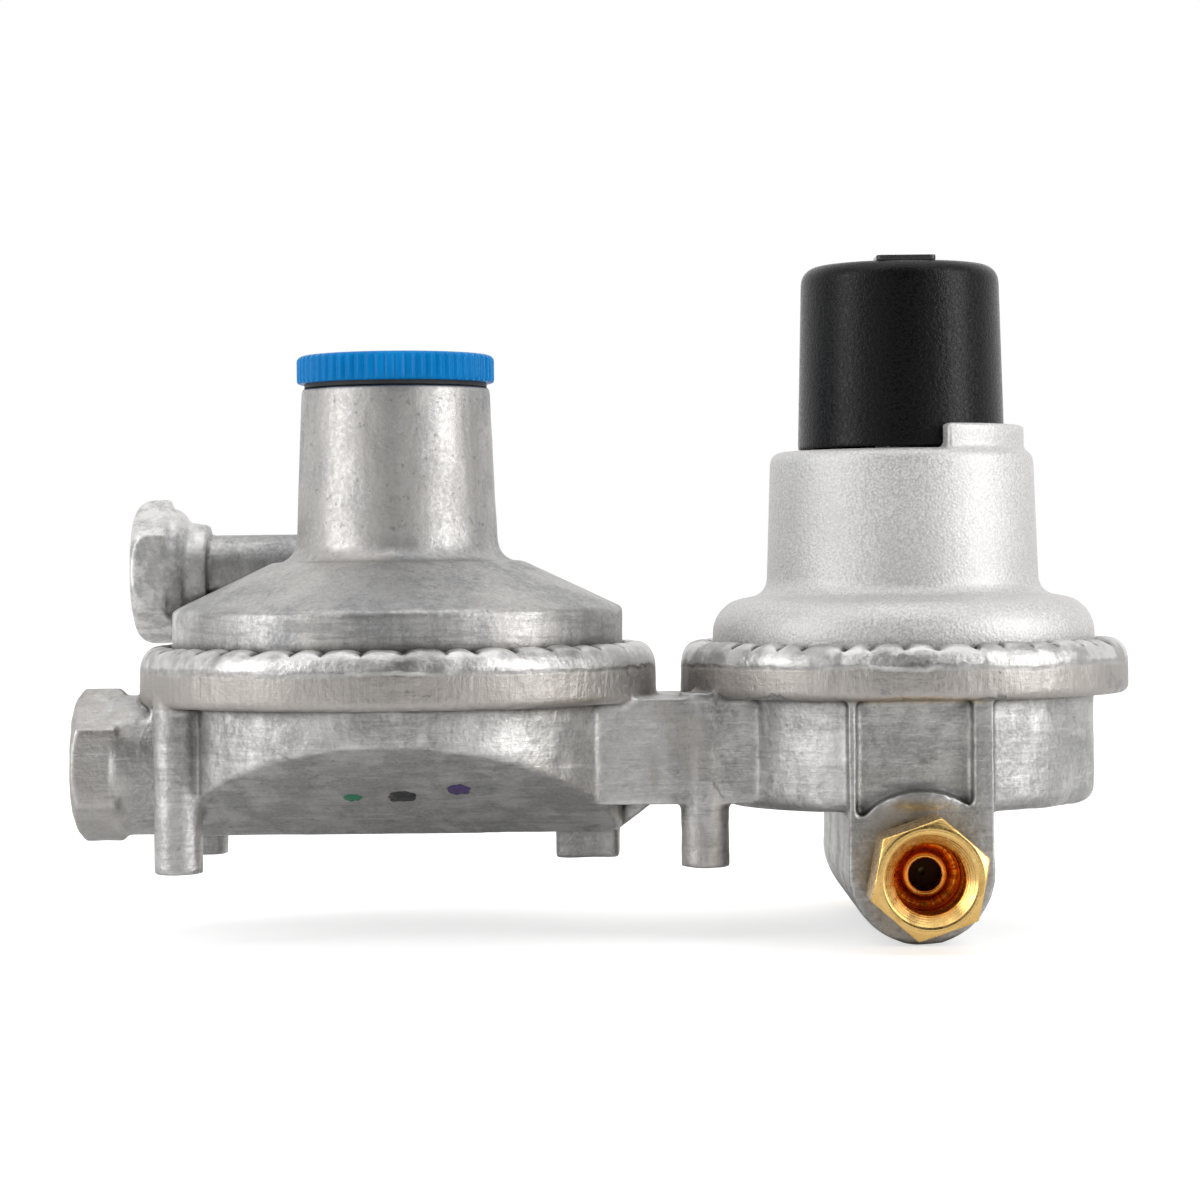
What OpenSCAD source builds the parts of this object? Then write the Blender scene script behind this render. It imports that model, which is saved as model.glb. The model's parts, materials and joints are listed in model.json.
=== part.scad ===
// Two-stage changeover regulator for propane: two inlets, a changeover knob and one outlet.
// +X runs from the outlet towards the first stage, +Y from the front inlet to the back one, +Z up.
// The origin is the middle of the overall box, level with the underside of the inlet tube.

/* [Layout] */
// Distance between the axes of the two stages
stage_gap = 86.5; // [86:0.5:90]
// Height of the ledges that the diaphragms are clamped on
ledge_z = 43; // [42.8:0.1:43.6]
// Thickness of the bowls' floors and of the second bowl's wall
wall = 3; // [2.6:0.1:3.4]
// Radial clearance of a shaft or pin in its hole
run = 0.05; // [0.03:0.01:0.08]
// Gap between pieces that seat on each other but move apart
seat_gap = 0.3; // [0.2:0.05:0.4]

/* [Second stage casting] */
// Underside of the second stage's clamping ring
ring2_z = 39.4; // [38.8:0.1:39.8]
// Outer radius of the second bowl
bowl2_r = 38.8; // [38.2:0.1:39]
// How far the second stage's clamping ring stands out from its bowl
ring2_out = 5.3; // [5:0.1:5.6]
// Underside of the second bowl
bowl2_z = 17.2; // [16.6:0.1:17.4]
// Angle of the sloping front face under the second bowl
slope = 28.3; // [26:0.1:30]
// How far in front of the axis the sloping face begins
slope_y = 8.7; // [7:0.1:10]

/* [First stage casting] */
// Radius of the first stage's clamping ring
ring1_r = 38.25; // [38:0.05:38.6]
// Underside of the first stage's clamping ring
ring1_z = 40; // [39.6:0.1:40.4]
// Outer radius of the first bowl
bowl1_r = 32.3; // [32:0.1:32.5]
// Radius inside the first bowl
cavity1_r = 27; // [26.5:0.1:27.2]
// Underside of the first bowl
bowl1_z = 21.4; // [21:0.1:22]

/* [Clamping lips] */
// Width of each ring outside its diaphragm
ring_w = 3.1; // [2.9:0.1:3.3]
// Height at which the rings' straight walls end
lip_start_z = 45; // [44.8:0.1:45.3]
// Thickness of each bonnet's clamped flange
flange_t = 2.6; // [2.4:0.1:2.8]
// Thickness of the lips rolled over the flanges
lip_t = 2.8; // [2.6:0.1:3]
// Gap between a lip and its bonnet
lip_gap = 0.4; // [0.3:0.05:0.5]
// Number of crimps round each lip
crimps = 36; // [30:1:40]

/* [Inlets] */
// Outer radius of the inlet tube
inlet_r = 12; // [11.9:0.1:12.3]
// Half the length of the inlet tube
inlet_half = 31.5; // [31.2:0.1:32]
// Width of the block above the inlet tube
block_w = 23.6; // [22.8:0.1:23.7]
// Left wall of the pocket in the block's face
pocket_left = 1.4; // [1.2:0.1:1.8]
// Right wall of that pocket
pocket_right = 3.4; // [3:0.1:3.8]
// Depth of that pocket behind the block's face
pocket_d = 2.2; // [1.8:0.1:2.4]
// Distance between the flats of the brass fittings
fitting_af = 17.46; // [17:0.02:18]
// Length of the round collar between the inlet tube's face and the fitting's hexagon
fitting_collar = 3; // [2.5:0.1:3.5]
// Length of the fitting's hexagon
fitting_hex = 11.5; // [11:0.1:12]
// Turn of the fitting's corners
fitting_turn = 19; // [0:1:59]
// Radius of the inverted-flare port
port_r = 5.6; // [5.4:0.05:5.8]
// Depth of the port's straight wall
port_depth = 10; // [9:0.5:10.5]
// Radius of the hole through the flare seat
flare_hole_r = 2.65; // [2.4:0.05:2.9]
// Radius of the fitting's shank in the casting
shank_r = 7.9; // [7.7:0.05:8.1]

/* [Outlet and vent] */
// Distance of the outlet's mouth from the second axis
outlet_reach = 55.2; // [54.2:0.2:57]
// Height of the outlet's axis
outlet_z = 28.9; // [28.5:0.1:29.3]
// Distance between the flats of the outlet's hexagon
outlet_af = 22.9; // [22.6:0.1:23.2]
// Radius of the outlet's neck
neck_r = 12; // [11.6:0.1:12.2]
// Length of the hexagons on the outlet and on the vent
hex_len = 8.6; // [8:0.1:9]
// Radius of the outlet's and the vent's threaded holes
pipe_r = 7.25; // [7:0.05:7.4]
// Depth of the outlet's thread
outlet_depth = 14; // [12:0.5:15]
// Distance of the vent behind the axes
vent_y = 20; // [19:0.5:21]
// Height of the vent's axis
vent_z = 61.9; // [61.4:0.1:62.4]
// Distance of the vent's mouth from the second axis
vent_reach = 47.5; // [47:0.1:48.4]
// Depth of the vent's thread
vent_depth = 7.5; // [7:0.1:8]
// Distance between the flats of the vent's hexagon
vent_af = 22.4; // [22:0.1:22.8]
// Radius of the vent's tube
vent_tube_r = 6.4; // [6.2:0.1:6.6]

/* [Feet and bridge] */
// Height of the undersides of the feet
feet_z = 11.8; // [11.2:0.1:12.4]
// Width of the rounded foot under the bridge
foot_w = 11.1; // [10.8:0.1:11.4]
// Distance of that foot's front face behind the axes
foot_y = 2.7; // [2.4:0.1:3]
// Radius of the round posts
post_r = 4.05; // [3.9:0.05:4.2]
// Distance of the left posts from the second axis
post_x = 35.7; // [35.4:0.1:36]
// Distance of the left posts from the middle
post_y = 19.2; // [18.8:0.1:19.6]
// Radius of the screw holes in the posts
post_hole_r = 2.1; // [1.9:0.05:2.2]
// Depth of those holes
post_hole_depth = 9; // [8:0.5:10]
// Distance of the middle post from the first axis
mid_post_x = 34.7; // [34.5:0.1:35]
// Distance of the middle post in front of the axes
mid_post_y = 15.8; // [15.5:0.1:16]
// Underside of the bridge between the bowls
bridge_z = 22.5; // [22.3:0.1:23]
// Distance of the bridge's front face from the axes
bridge_front = 19; // [18.5:0.1:19.5]
// Distance of the bridge's back face from the axes
bridge_back = 18; // [17.5:0.1:18.5]

/* [Second bonnet] */
// How far the bonnet's lower band stands in from the bowl's outside
band2_in = 0.3; // [0.1:0.1:0.5]
// Height of the band's upper edge
band2_z = 55.4; // [55:0.1:55.8]
// Radius at which the cone ends
cone_r = 21.4; // [21:0.1:21.8]
// Height at which the cone ends
cone_z = 63.3; // [63:0.1:63.6]
// Radius of the tower at its foot
tower_foot_r = 17.2; // [17:0.1:17.4]
// Radius of the tower at its top
tower_r = 16.1; // [16:0.1:16.4]
// Height of the tower's top
tower_z = 93; // [92:0.5:94]
// Radius of the bore in the tower
tower_bore_r = 14.4; // [14.2:0.1:14.5]

/* [Cap and adjuster] */
// Radius of the closing cap
cap_r = 16.9; // [16.7:0.1:17.1]
// Height of the closing cap's head
cap_h = 4.8; // [4.4:0.1:5]
// Thickness of the cap's gasket
gasket_t = 0.7; // [0.6:0.05:0.9]
// Number of grip ribs round the cap
cap_ribs = 60; // [48:4:72]
// Length of the cap's threaded skirt
skirt_h = 2.8; // [2.4:0.1:3]
// Height of the adjusting screw
adjuster_h = 4.5; // [4:0.1:5]
// Gap between the adjusting screw and the closed cap
adjuster_drop = 1.2; // [1.1:0.1:1.4]

/* [First bonnet and knob] */
// Radius of the first bonnet's lower band
band1_r = 32.6; // [32.4:0.05:32.7]
// Radius of the neck at its foot
neck_foot_r = 23.1; // [22.9:0.1:23.3]
// Radius of the neck at its top
neck_top_r = 22.5; // [22.3:0.1:22.7]
// Height of the neck's top
neck_z = 81.3; // [80.5:0.1:82]
// Outer radius of the stop wall on the neck
stop_r = 20.9; // [20.7:0.1:21]
// Height of the stop wall
stop_h = 4.1; // [3.8:0.1:4.4]
// Half of the angle that the stop wall covers
stop_half = 73; // [70:1:74]
// Radius of the knob at its lower edge
knob_r = 17.65; // [17.5:0.05:17.7]
// Radius of the knob below its rounded top edge
knob_top_r = 16.9; // [16.7:0.05:17]
// Height of the knob's flat top
knob_z = 112.9; // [112.4:0.1:113.4]
// Radius of the knob's top edge
knob_round = 3; // [2.5:0.1:3.4]
// Thickness of the knob's shell
knob_wall = 1.8; // [1.6:0.1:2]
// How far the window stands above the knob
window_rise = 0.9; // [0.7:0.1:1]
// Radius of the changeover shaft
shaft_r = 4.4; // [4.2:0.1:4.6]
// Radius of the indicator rod
rod_r = 1.4; // [1.2:0.1:1.5]

/* [Motion parts] */
// Upward travel of the second stage's diaphragm
travel2 = 2.4; // [2.2:0.1:2.4]
// Upward travel of the first stage's diaphragm
travel1 = 1.6; // [1.4:0.1:1.6]
// Length of the second lever's long arm
arm2 = 19; // [19:0.1:19.5]
// Length of the second lever's tongue
tongue2 = 7; // [6.8:0.1:7]
// Length of the first levers' long arms
arm1 = 12.7; // [12.6:0.1:13]
// Length of the first levers' tongues
tongue1 = 9; // [8.8:0.1:9]
// Radius of the second lever's pin
pin2_r = 1.5; // [1.4:0.05:1.6]
// Radius of the first levers' pins
pin1_r = 1.2; // [1.1:0.05:1.3]
// Thickness of both diaphragms
diaphragm_t = 1; // [0.9:0.05:1.1]

/* [Hidden] */
$fn = 96;

// Overall length, which the origin is the middle of, and the two axes
overall_x = outlet_reach + stage_gap + ring1_r;
second_x = -overall_x / 2 + outlet_reach;
first_x = second_x + stage_gap;
inlet_z = inlet_r;
ring2_r = bowl2_r + ring2_out;
band2_r = bowl2_r - band2_in;
fitting_reach = inlet_half + fitting_collar + fitting_hex;
// Heights shared by both clamped joints
rim_top = ledge_z + diaphragm_t;
lip_under = rim_top + flange_t;
lip_top = lip_under + lip_t;
cavity2_r = bowl2_r - wall - 0.5;
floor2 = bowl2_z + wall;
floor1 = bowl1_z + wall;
// Second valve: the bridge's middle carries the orifice, and the lever's pivot lies below it
valve2_z = (bridge_z + ring1_z) / 2 - 0.25;
pivot2 = [arm2, valve2_z - tongue2];
close2 = travel2 * tongue2 / arm2;
seat2_x = cavity2_r - 7.3;
holder2_r = 4;
orifice_r = 5;
holder2_end = seat2_x - close2 - 0.02;
lever_tip2 = [valve2_z - 1, valve2_z + 0.6];
// First valves: each pivot lies above the inlet tube's axis
pivot1 = [-(arm1 + 1.5), inlet_z + tongue1];
close1 = travel1 * tongue1 / arm1;
poppet_tip_y = pivot1[0] - 1;
stem1_foot_z = floor1 + 4.6;
seat_ring_y = 13.5 - inlet_half;
chamber_r = 5.2;
sag1 = 0.8;
sag2 = 1.2;
plate2_z = rim_top - sag2;
plate1_z = rim_top - sag1;
plate_t = 1.2;
plate2_r = cavity2_r - 8.3;
plate1_r = cavity1_r - 5;
stem2_r = 2.5;
stem1_r = 3;
// First spring, cam and knob
cam_top = neck_z - 4.8;
seat1_top = cam_top - 4.6;
spring1_r = neck_top_r - 3;
hub_z = knob_z - 15.9;
hub_boss = 0.38 * (hub_z - neck_z);
flag_z = knob_z - 7.4;
window_y = 7.2 - knob_top_r;
knob_foot_z = neck_z + 0.4;
screen_r = pipe_r - 1.1;

// Points of an arc about (cx, cy), from angle a0 to a1
function arc(cx, cy, r, a0, a1, n = 4) =
    [for (i = [0:n]) [cx + r * cos(a0 + (a1 - a0) * i / n), cy + r * sin(a0 + (a1 - a0) * i / n)]];

module at_second() { translate([second_x, 0, 0]) children(); }
module at_first() { translate([first_x, 0, 0]) children(); }
module disc(r, z0, z1) { translate([0, 0, z0]) cylinder(r = r, h = z1 - z0); }
module washer(r, hole, z0, z1) {
    difference() {
        disc(r, z0, z1);
        disc(hole, z0 - 1, z1 + 1);
    }
}
// Round bar along X or Y between two places
module bar_x(r, x0, x1, z) { translate([x0, 0, z]) rotate([0, 90, 0]) cylinder(r = r, h = x1 - x0); }
module bar_y(r, y0, y1, z) { translate([0, y0, z]) rotate([-90, 0, 0]) cylinder(r = r, h = y1 - y0); }
// Hexagonal bar along -X with corners up and down
module hex_x(af, x0, x1, z) {
    translate([x1, 0, z]) rotate([0, -90, 0]) cylinder(r = af / sqrt(3), h = x1 - x0, $fn = 6);
}
module block(x0, x1, y0, y1, z0, z1) { translate([x0, y0, z0]) cube([x1 - x0, y1 - y0, z1 - z0]); }
// Upright block with rounded vertical edges
module rounded_block(x0, x1, y0, y1, z0, z1, r) {
    block(x0 + r, x1 - r, y0, y1, z0, z1);
    block(x0, x1, y0 + r, y1 - r, z0, z1);
    for (x = [x0 + r, x1 - r], y = [y0 + r, y1 - r]) translate([x, y, 0]) disc(r, z0, z1);
}

// Coil of round wire: a helix of flat-sided rings with closed ends
module coil(mean_r, wire_r, z0, z1, turns, steps = 18, sides = 6) {
    rings = turns * steps;
    pts = [for (i = [0:rings], k = [0:sides - 1])
        let (a = 360 * i / steps, b = 360 * k / sides, z = z0 + wire_r + (z1 - z0 - 2 * wire_r) * i / rings)
        [(mean_r + wire_r * cos(b)) * cos(a), (mean_r + wire_r * cos(b)) * sin(a), z + wire_r * sin(b)]];
    sides_f = [for (i = [0:rings - 1], k = [0:sides - 1], t = [0:1])
        let (p = i * sides + k, q = i * sides + (k + 1) % sides)
        t == 0 ? [p, q, p + sides] : [q, q + sides, p + sides]];
    ends = [for (k = [1:sides - 2]) [0, k + 1, k]];
    far = [for (k = [1:sides - 2]) [rings * sides, rings * sides + k, rings * sides + k + 1]];
    polyhedron(points = pts, faces = concat(sides_f, ends, far), convexity = 8);
}

// Ring with a rolled lip that clamps a bonnet of the given band radius
module clamp_ring(r, z, bowl_r, band_r) {
    seat = r - ring_w;
    lip_in = band_r + lip_gap;
    top = lip_top;
    rotate_extrude() polygon(concat(
        [[bowl_r - 1.5, z], [r - 0.8, z], [r, z + 0.8], [r, lip_start_z]],
        [for (i = [1:5]) let (a = 18 * i)
            [r - ring_w * (1 - cos(a)), lip_start_z + (top - lip_start_z) * sin(a)]],
        [[lip_in + 0.6, top], [lip_in, top - 0.5], [lip_in, lip_under], [seat, lip_under],
         [seat, ledge_z], [bowl_r - 1.5, ledge_z]]));
}
// Notches that part the crimps round a lip
module crimp_notches(band_r) {
    notch_r = 0.55;
    for (i = [0:crimps - 1]) rotate([0, 0, 360 * i / crimps]) translate([band_r - 0.5, 0, lip_top + 0.1])
        rotate([0, 90, 0]) cylinder(r = notch_r, h = 3.2, $fn = 6);
}

module bowl(r, z, top, round) {
    rotate_extrude() polygon(concat([[0, z]], arc(r - round, z + round, round, -90, 0), [[r, top], [0, top]]));
}
// Everything below the sloping front face, moved up by d across it
module below_slope(d) {
    far = 3 * bowl2_r;
    translate([0, -slope_y, bowl2_z]) rotate([-slope, 0, 0])
        translate([-far / 2, -far, d - far / 2]) cube([far, far + bowl2_r / 3, far / 2]);
}

module second_bowl_solid() {
    difference() {
        bowl(bowl2_r, bowl2_z, ring2_z + 1, 2);
        below_slope(0);
    }
    clamp_ring(ring2_r, ring2_z, bowl2_r, band2_r);
    // Outlet neck, hexagon and the web that runs up to the ring
    bar_x(neck_r, -outlet_reach + hex_len - 1, -bowl2_r + 4, outlet_z);
    outlet_hexagon();
    block(-ring2_r + 2.4, -bowl2_r + 4, -neck_r + 2.5, neck_r - 2.5, outlet_z, ring2_z + 1);
    for (side = [-1, 1]) translate([-post_x, side * post_y, 0]) disc(post_r, feet_z, ring2_z + 1);
}
module outlet_hexagon() {
    intersection() {
        hex_x(outlet_af, -outlet_reach, -outlet_reach + hex_len, outlet_z);
        // Turned chamfer on the mouth and on the back of the hexagon
        translate([-outlet_reach, 0, outlet_z]) rotate([0, 90, 0]) rotate_extrude()
            polygon([[0, 0], [outlet_af / 2 - 0.4, 0], [outlet_af / 2 + 2, 1.4],
                [outlet_af / 2 + 2, hex_len - 0.9], [outlet_af / 2, hex_len], [0, hex_len]]);
    }
}
module bridge_solid() {
    foot_end = bowl2_r - 1.1;
    fairing_half = 8.5;
    block(bowl2_r - 8, stage_gap - bowl1_r + 6, -bridge_front, bridge_back, bridge_z, ring1_z);
    // Sloping fairing from the second bowl's underside to the bridge
    translate([0, fairing_half + 2.5, 0]) rotate([90, 0, 0]) linear_extrude(2 * fairing_half)
        polygon([[bowl2_r - 9, bridge_z + 1], [bowl2_r - 9, bowl2_z], [bowl2_r - 1.6, bowl2_z],
            [bowl2_r + 6.6, bridge_z + 1]]);
    rounded_block(foot_end - foot_w, foot_end, foot_y, foot_y + 8.8, feet_z, bowl2_z + 1, 2);
    translate([stage_gap - mid_post_x, -mid_post_y, 0]) disc(post_r, feet_z, ring1_z + 1);
}
module first_bowl_solid() {
    difference() {
        union() {
            bowl(bowl1_r, bowl1_z, ring1_z + 1, 2.5);
            bar_y(inlet_r, -inlet_half, inlet_half, inlet_z);
            block(-block_w / 2, block_w / 2, -inlet_half, inlet_half, inlet_z, ring1_z + 1);
        }
        for (side = [0, 1]) mirror([0, side, 0]) face_pocket();
    }
    clamp_ring(ring1_r, ring1_z, bowl1_r, band1_r);
}
// Shallow pocket above an inlet, with an arched lower edge
module face_pocket() {
    arch_r = inlet_r + 1.2;
    difference() {
        block(-block_w / 2 + pocket_left, block_w / 2 - pocket_right, -bowl1_r - 1,
            -inlet_half + pocket_d, inlet_z + 6, ring1_z);
        bar_y(arch_r, -bowl1_r - 2, 0, inlet_z);
    }
}
module second_hollows() {
    difference() {
        disc(cavity2_r, floor2, ledge_z + 1);
        below_slope(wall);
    }
    // Outlet thread and passage
    bar_x(pipe_r, -outlet_reach - 1, -outlet_reach + outlet_depth, outlet_z);
    bar_x(pipe_r - 1.5, -outlet_reach, -cavity2_r + 2, outlet_z);
    for (side = [-1, 1]) translate([-post_x, side * post_y, 0]) post_hole();
    // Orifice thread and the passage through the bridge
    bar_x(orifice_r + run, cavity2_r - 1, cavity2_r + 11, valve2_z);
    bar_x(3.8, cavity2_r, stage_gap - cavity1_r + 1, valve2_z);
    translate([stage_gap - mid_post_x, -mid_post_y, 0]) post_hole();
}
module post_hole() { disc(post_hole_r, feet_z - 1, feet_z + post_hole_depth); }
module first_hollows() {
    disc(cavity1_r, floor1, ledge_z + 1);
    block(-4.5, 4.5, -17, 17, inlet_z, floor1 + 1);
    bar_y(7.5, -19, 19, inlet_z);
    for (side = [0, 1]) mirror([0, side, 0]) {
        bar_y(shank_r + run, -inlet_half - 1, seat_ring_y, inlet_z);
        translate([0, pivot1[0], 0]) bar_x(pin1_r + run, -8.6, 8.6, pivot1[1]);
    }
}
// Two ears that hold the second lever's pin and guide its valve holder
module pin_ears() {
    for (side = [0, 1]) mirror([0, side, 0]) difference() {
        block(pivot2[0] - 2.6, pivot2[0] + 2.6, holder2_r + seat_gap, holder2_r + 4, floor2 - 0.5,
            valve2_z + 2);
        translate([pivot2[0], 0, 0]) bar_y(pin2_r + run, 0, 20, pivot2[1]);
    }
}
module body_casting() {
    color("silver") {
        difference() {
            union() {
                at_second() second_bowl_solid();
                at_second() bridge_solid();
                at_first() first_bowl_solid();
            }
            at_second() second_hollows();
            at_first() first_hollows();
            at_second() crimp_notches(band2_r);
            at_first() crimp_notches(band1_r);
        }
        at_second() pin_ears();
    }
}

module second_bonnet() {
    inner_slope = (cone_z - band2_z) / (band2_r - cone_r);
    roof_r = tower_bore_r + 1.6;
    roof_z = band2_z - 2.6 + (cavity2_r - roof_r) * inner_slope;
    color("gainsboro") at_second() difference() {
        union() {
            rotate_extrude() polygon(concat(
                [[0, rim_top], [ring2_r - ring_w - 0.3, rim_top], [ring2_r - ring_w - 0.3, lip_under],
                 [band2_r, lip_under], [band2_r, band2_z - 0.6], [band2_r - 0.5, band2_z],
                 [cone_r, cone_z]],
                arc(cone_r - 0.4, cone_z + 3.6, 3.7, 252, 182),
                [[tower_foot_r, cone_z + 4], [tower_r, tower_z - 0.4], [tower_r - 0.4, tower_z],
                 [0, tower_z]]));
            vent_solid();
        }
        rotate_extrude() polygon([[0, rim_top - 1], [cavity2_r, rim_top - 1], [cavity2_r, band2_z - 2.6],
            [roof_r, roof_z], [tower_bore_r, roof_z + 2], [tower_bore_r, tower_z + 1], [0, tower_z + 1]]);
        translate([0, vent_y, 0]) {
            bar_x(pipe_r, -vent_reach - 1, -vent_reach + vent_depth, vent_z);
            bar_x(screen_r + 0.1, -vent_reach, -vent_reach + vent_depth + 2, vent_z);
            bar_x(vent_tube_r - 2.5, -vent_reach, -10, vent_z);
        }
    }
}
module vent_solid() {
    collar_x = -vent_reach + 10.2;
    vent_hex = 6.5;
    translate([0, vent_y, 0]) {
        intersection() {
            hex_x(vent_af, -vent_reach, -vent_reach + vent_hex, vent_z);
            // Domed mouth
            translate([-vent_reach, 0, vent_z]) rotate([0, 90, 0]) rotate_extrude()
                polygon(concat([[0, 0]], arc(vent_af / 2 - 1.6, 3.2, 3.2, -90, 0), [[vent_af / 2 + 1.6, vent_hex],
                    [0, vent_hex]]));
        }
        // Shoulder that curves in from the hexagon to the collar
        translate([-vent_reach + vent_hex, 0, vent_z]) rotate([0, 90, 0]) rotate_extrude()
            polygon(concat([[0, -1], [vent_af / 2, -1]], arc(8.2, 0, vent_af / 2 - 8.2, 0, 80), [[8.2, 6.6],
                [0, 6.6]]));
        bar_x(vent_tube_r, collar_x, -8, vent_z);
        translate([-8, 0, vent_z]) sphere(r = vent_tube_r);
    }
}
module vent_screen() {
    color("dimgray") at_second() translate([0, vent_y, 0])
        bar_x(screen_r, -vent_reach + vent_depth + 1.6, -vent_reach + vent_depth + 2, vent_z);
}
module vent_screen_ring() {
    color("lightgray") at_second() translate([0, vent_y, 0]) difference() {
        bar_x(screen_r, -vent_reach + vent_depth + 0.4, -vent_reach + vent_depth + 1.6, vent_z);
        bar_x(screen_r - 1, -vent_reach, -vent_reach + vent_depth + 3, vent_z);
    }
}

cap_z = tower_z + gasket_t;
skirt_z = cap_z - skirt_h - gasket_t;
adjuster_top = skirt_z - adjuster_drop;
seat_top2 = adjuster_top - adjuster_h;
module closing_cap() {
    rib_h = 0.35;
    color("dodgerblue") at_second() {
        difference() {
            union() {
                rotate_extrude() polygon([[0, cap_z], [cap_r - rib_h, cap_z],
                    [cap_r - rib_h, cap_z + cap_h - 0.5], [cap_r - rib_h - 0.5, cap_z + cap_h],
                    [0, cap_z + cap_h]]);
                disc(tower_bore_r - 0.4, skirt_z, cap_z + 1);
            }
            disc(tower_bore_r - 2.4, skirt_z - 1, cap_z + 1.5);
            // Coin slot across the top
            block(-8, 8, -1.2, 1.2, cap_z + cap_h - 1.6, cap_z + cap_h + 1);
        }
        for (i = [0:cap_ribs - 1]) rotate([0, 0, 360 * i / cap_ribs])
            block(cap_r - rib_h - 0.4, cap_r, -0.45, 0.45, cap_z + 0.3, cap_z + cap_h - 0.4);
    }
}
module cap_gasket() {
    color("black") at_second() washer(tower_r - 0.5, tower_bore_r - 0.3, tower_z, cap_z);
}
module adjusting_screw() {
    socket_r = 6.9;
    color("white") at_second() difference() {
        disc(tower_bore_r - 0.4, seat_top2, adjuster_top);
        translate([0, 0, seat_top2 - 1]) cylinder(r = socket_r, h = adjuster_h + 2, $fn = 6);
    }
}
module upper_spring_seat() {
    color("lightgray") at_second() washer(tower_bore_r - 0.6, 4.5, seat_top2 - 1.2, seat_top2);
}
module second_main_spring() {
    color("dimgray") at_second() coil(tower_bore_r - 3.8, 0.9, plate2_z + plate_t + 0.05, seat_top2 - 1.25, 9);
}

// Rubber disc: clamped rim, sloping web and a centre that sags at rest
module diaphragm(rim_r, cavity_r, plate_r, hole, sag) {
    rotate_extrude() polygon([[hole, ledge_z - sag], [plate_r, ledge_z - sag], [cavity_r - 1.5, ledge_z],
        [rim_r, ledge_z], [rim_r, rim_top], [cavity_r - 1.5, rim_top], [plate_r, rim_top - sag],
        [hole, rim_top - sag]]);
}
module second_diaphragm() {
    color("black") at_second() diaphragm(ring2_r - ring_w - 0.1, cavity2_r, plate2_r + 1, stem2_r + run, sag2);
}
module second_plate() {
    color("lightsteelblue") at_second() {
        washer(plate2_r, stem2_r + run, plate2_z, plate2_z + plate_t);
        washer(plate2_r, plate2_r - 1, plate2_z + plate_t, plate2_z + plate_t + 2);
        washer(8.8, 7.8, plate2_z + plate_t, plate2_z + plate_t + 1.5);
    }
}
module second_stem() {
    stem_foot = lever_tip2[0] - 2;
    color("whitesmoke") at_second() difference() {
        union() {
            disc(stem2_r, stem_foot, plate2_z + 13.5);
            disc(6, ledge_z - sag2 - 1.5, ledge_z - sag2);
        }
        block(-5, 5, -1.3, 1.3, lever_tip2[0] - 0.4, lever_tip2[1] + 0.4);
    }
}
module relief_spring() {
    color("dimgray") at_second() coil(4.1, 0.5, plate2_z + plate_t + 0.05, plate2_z + 10.95, 6, 14);
}
module relief_retainer() {
    color("goldenrod") at_second() difference() {
        disc(5.6, plate2_z + 11, plate2_z + 13);
        disc(stem2_r + run, plate2_z, plate2_z + 15);
    }
}
module second_lever() {
    eye_r = 2.6;
    p = pivot2;
    tip = lever_tip2;
    color("lightgray") at_second() difference() {
        union() {
            translate([p[0], 0, 0]) bar_y(eye_r, -3.6, 3.6, p[1]);
            // Long arm, wide at the pivot and narrow where it enters the stem
            translate([0, 2.6, 0]) rotate([90, 0, 0]) linear_extrude(5.2)
                polygon([[p[0], p[1] - 0.8], [10.5, p[1] - 0.8], [4.2, tip[0]], [4.2, tip[1]], [5.2, tip[1]],
                    [11.3, p[1] + 0.8], [p[0], p[1] + 0.8]]);
            block(-2.8, 5, -1, 1, tip[0], tip[1]);
            block(p[0] - 0.5, p[0] + 0.5, -1.2, 1.2, p[1], p[1] + tongue2 + 0.5);
        }
        translate([p[0], 0, 0]) bar_y(pin2_r + run, -10, 10, p[1]);
    }
}
module second_lever_pin() {
    half = holder2_r + 4.5;
    color("gray") at_second() translate([pivot2[0], 0, 0]) bar_y(pin2_r, -half, half, pivot2[1]);
}
module second_valve_holder() {
    color("goldenrod") at_second() difference() {
        bar_x(holder2_r, pivot2[0] - 2.5, holder2_end - 0.1, valve2_z);
        block(pivot2[0] - 1.3, pivot2[0] + 1.3, -1.6, 1.6, valve2_z - holder2_r - 1, valve2_z + 2);
        bar_x(3.3, holder2_end - 1.3, holder2_end + 1, valve2_z);
    }
}
module second_valve_disc() {
    color("black") at_second() bar_x(3.2, holder2_end - 1.3, holder2_end, valve2_z);
}
module second_orifice() {
    orifice_end = seat2_x + 16;
    color("gold") at_second() difference() {
        union() {
            translate([seat2_x, 0, valve2_z]) rotate([0, 90, 0])
                cylinder(r1 = 2.3, r2 = orifice_r - 0.5, h = 3.2);
            hex_x(11, seat2_x + 3.1, seat2_x + 6.5, valve2_z);
            bar_x(orifice_r, seat2_x + 6, orifice_end, valve2_z);
        }
        bar_x(1.6, 0, orifice_end + 1, valve2_z);
        bar_x(orifice_r - 2, seat2_x + 6, orifice_end + 1, valve2_z);
    }
}

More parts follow.
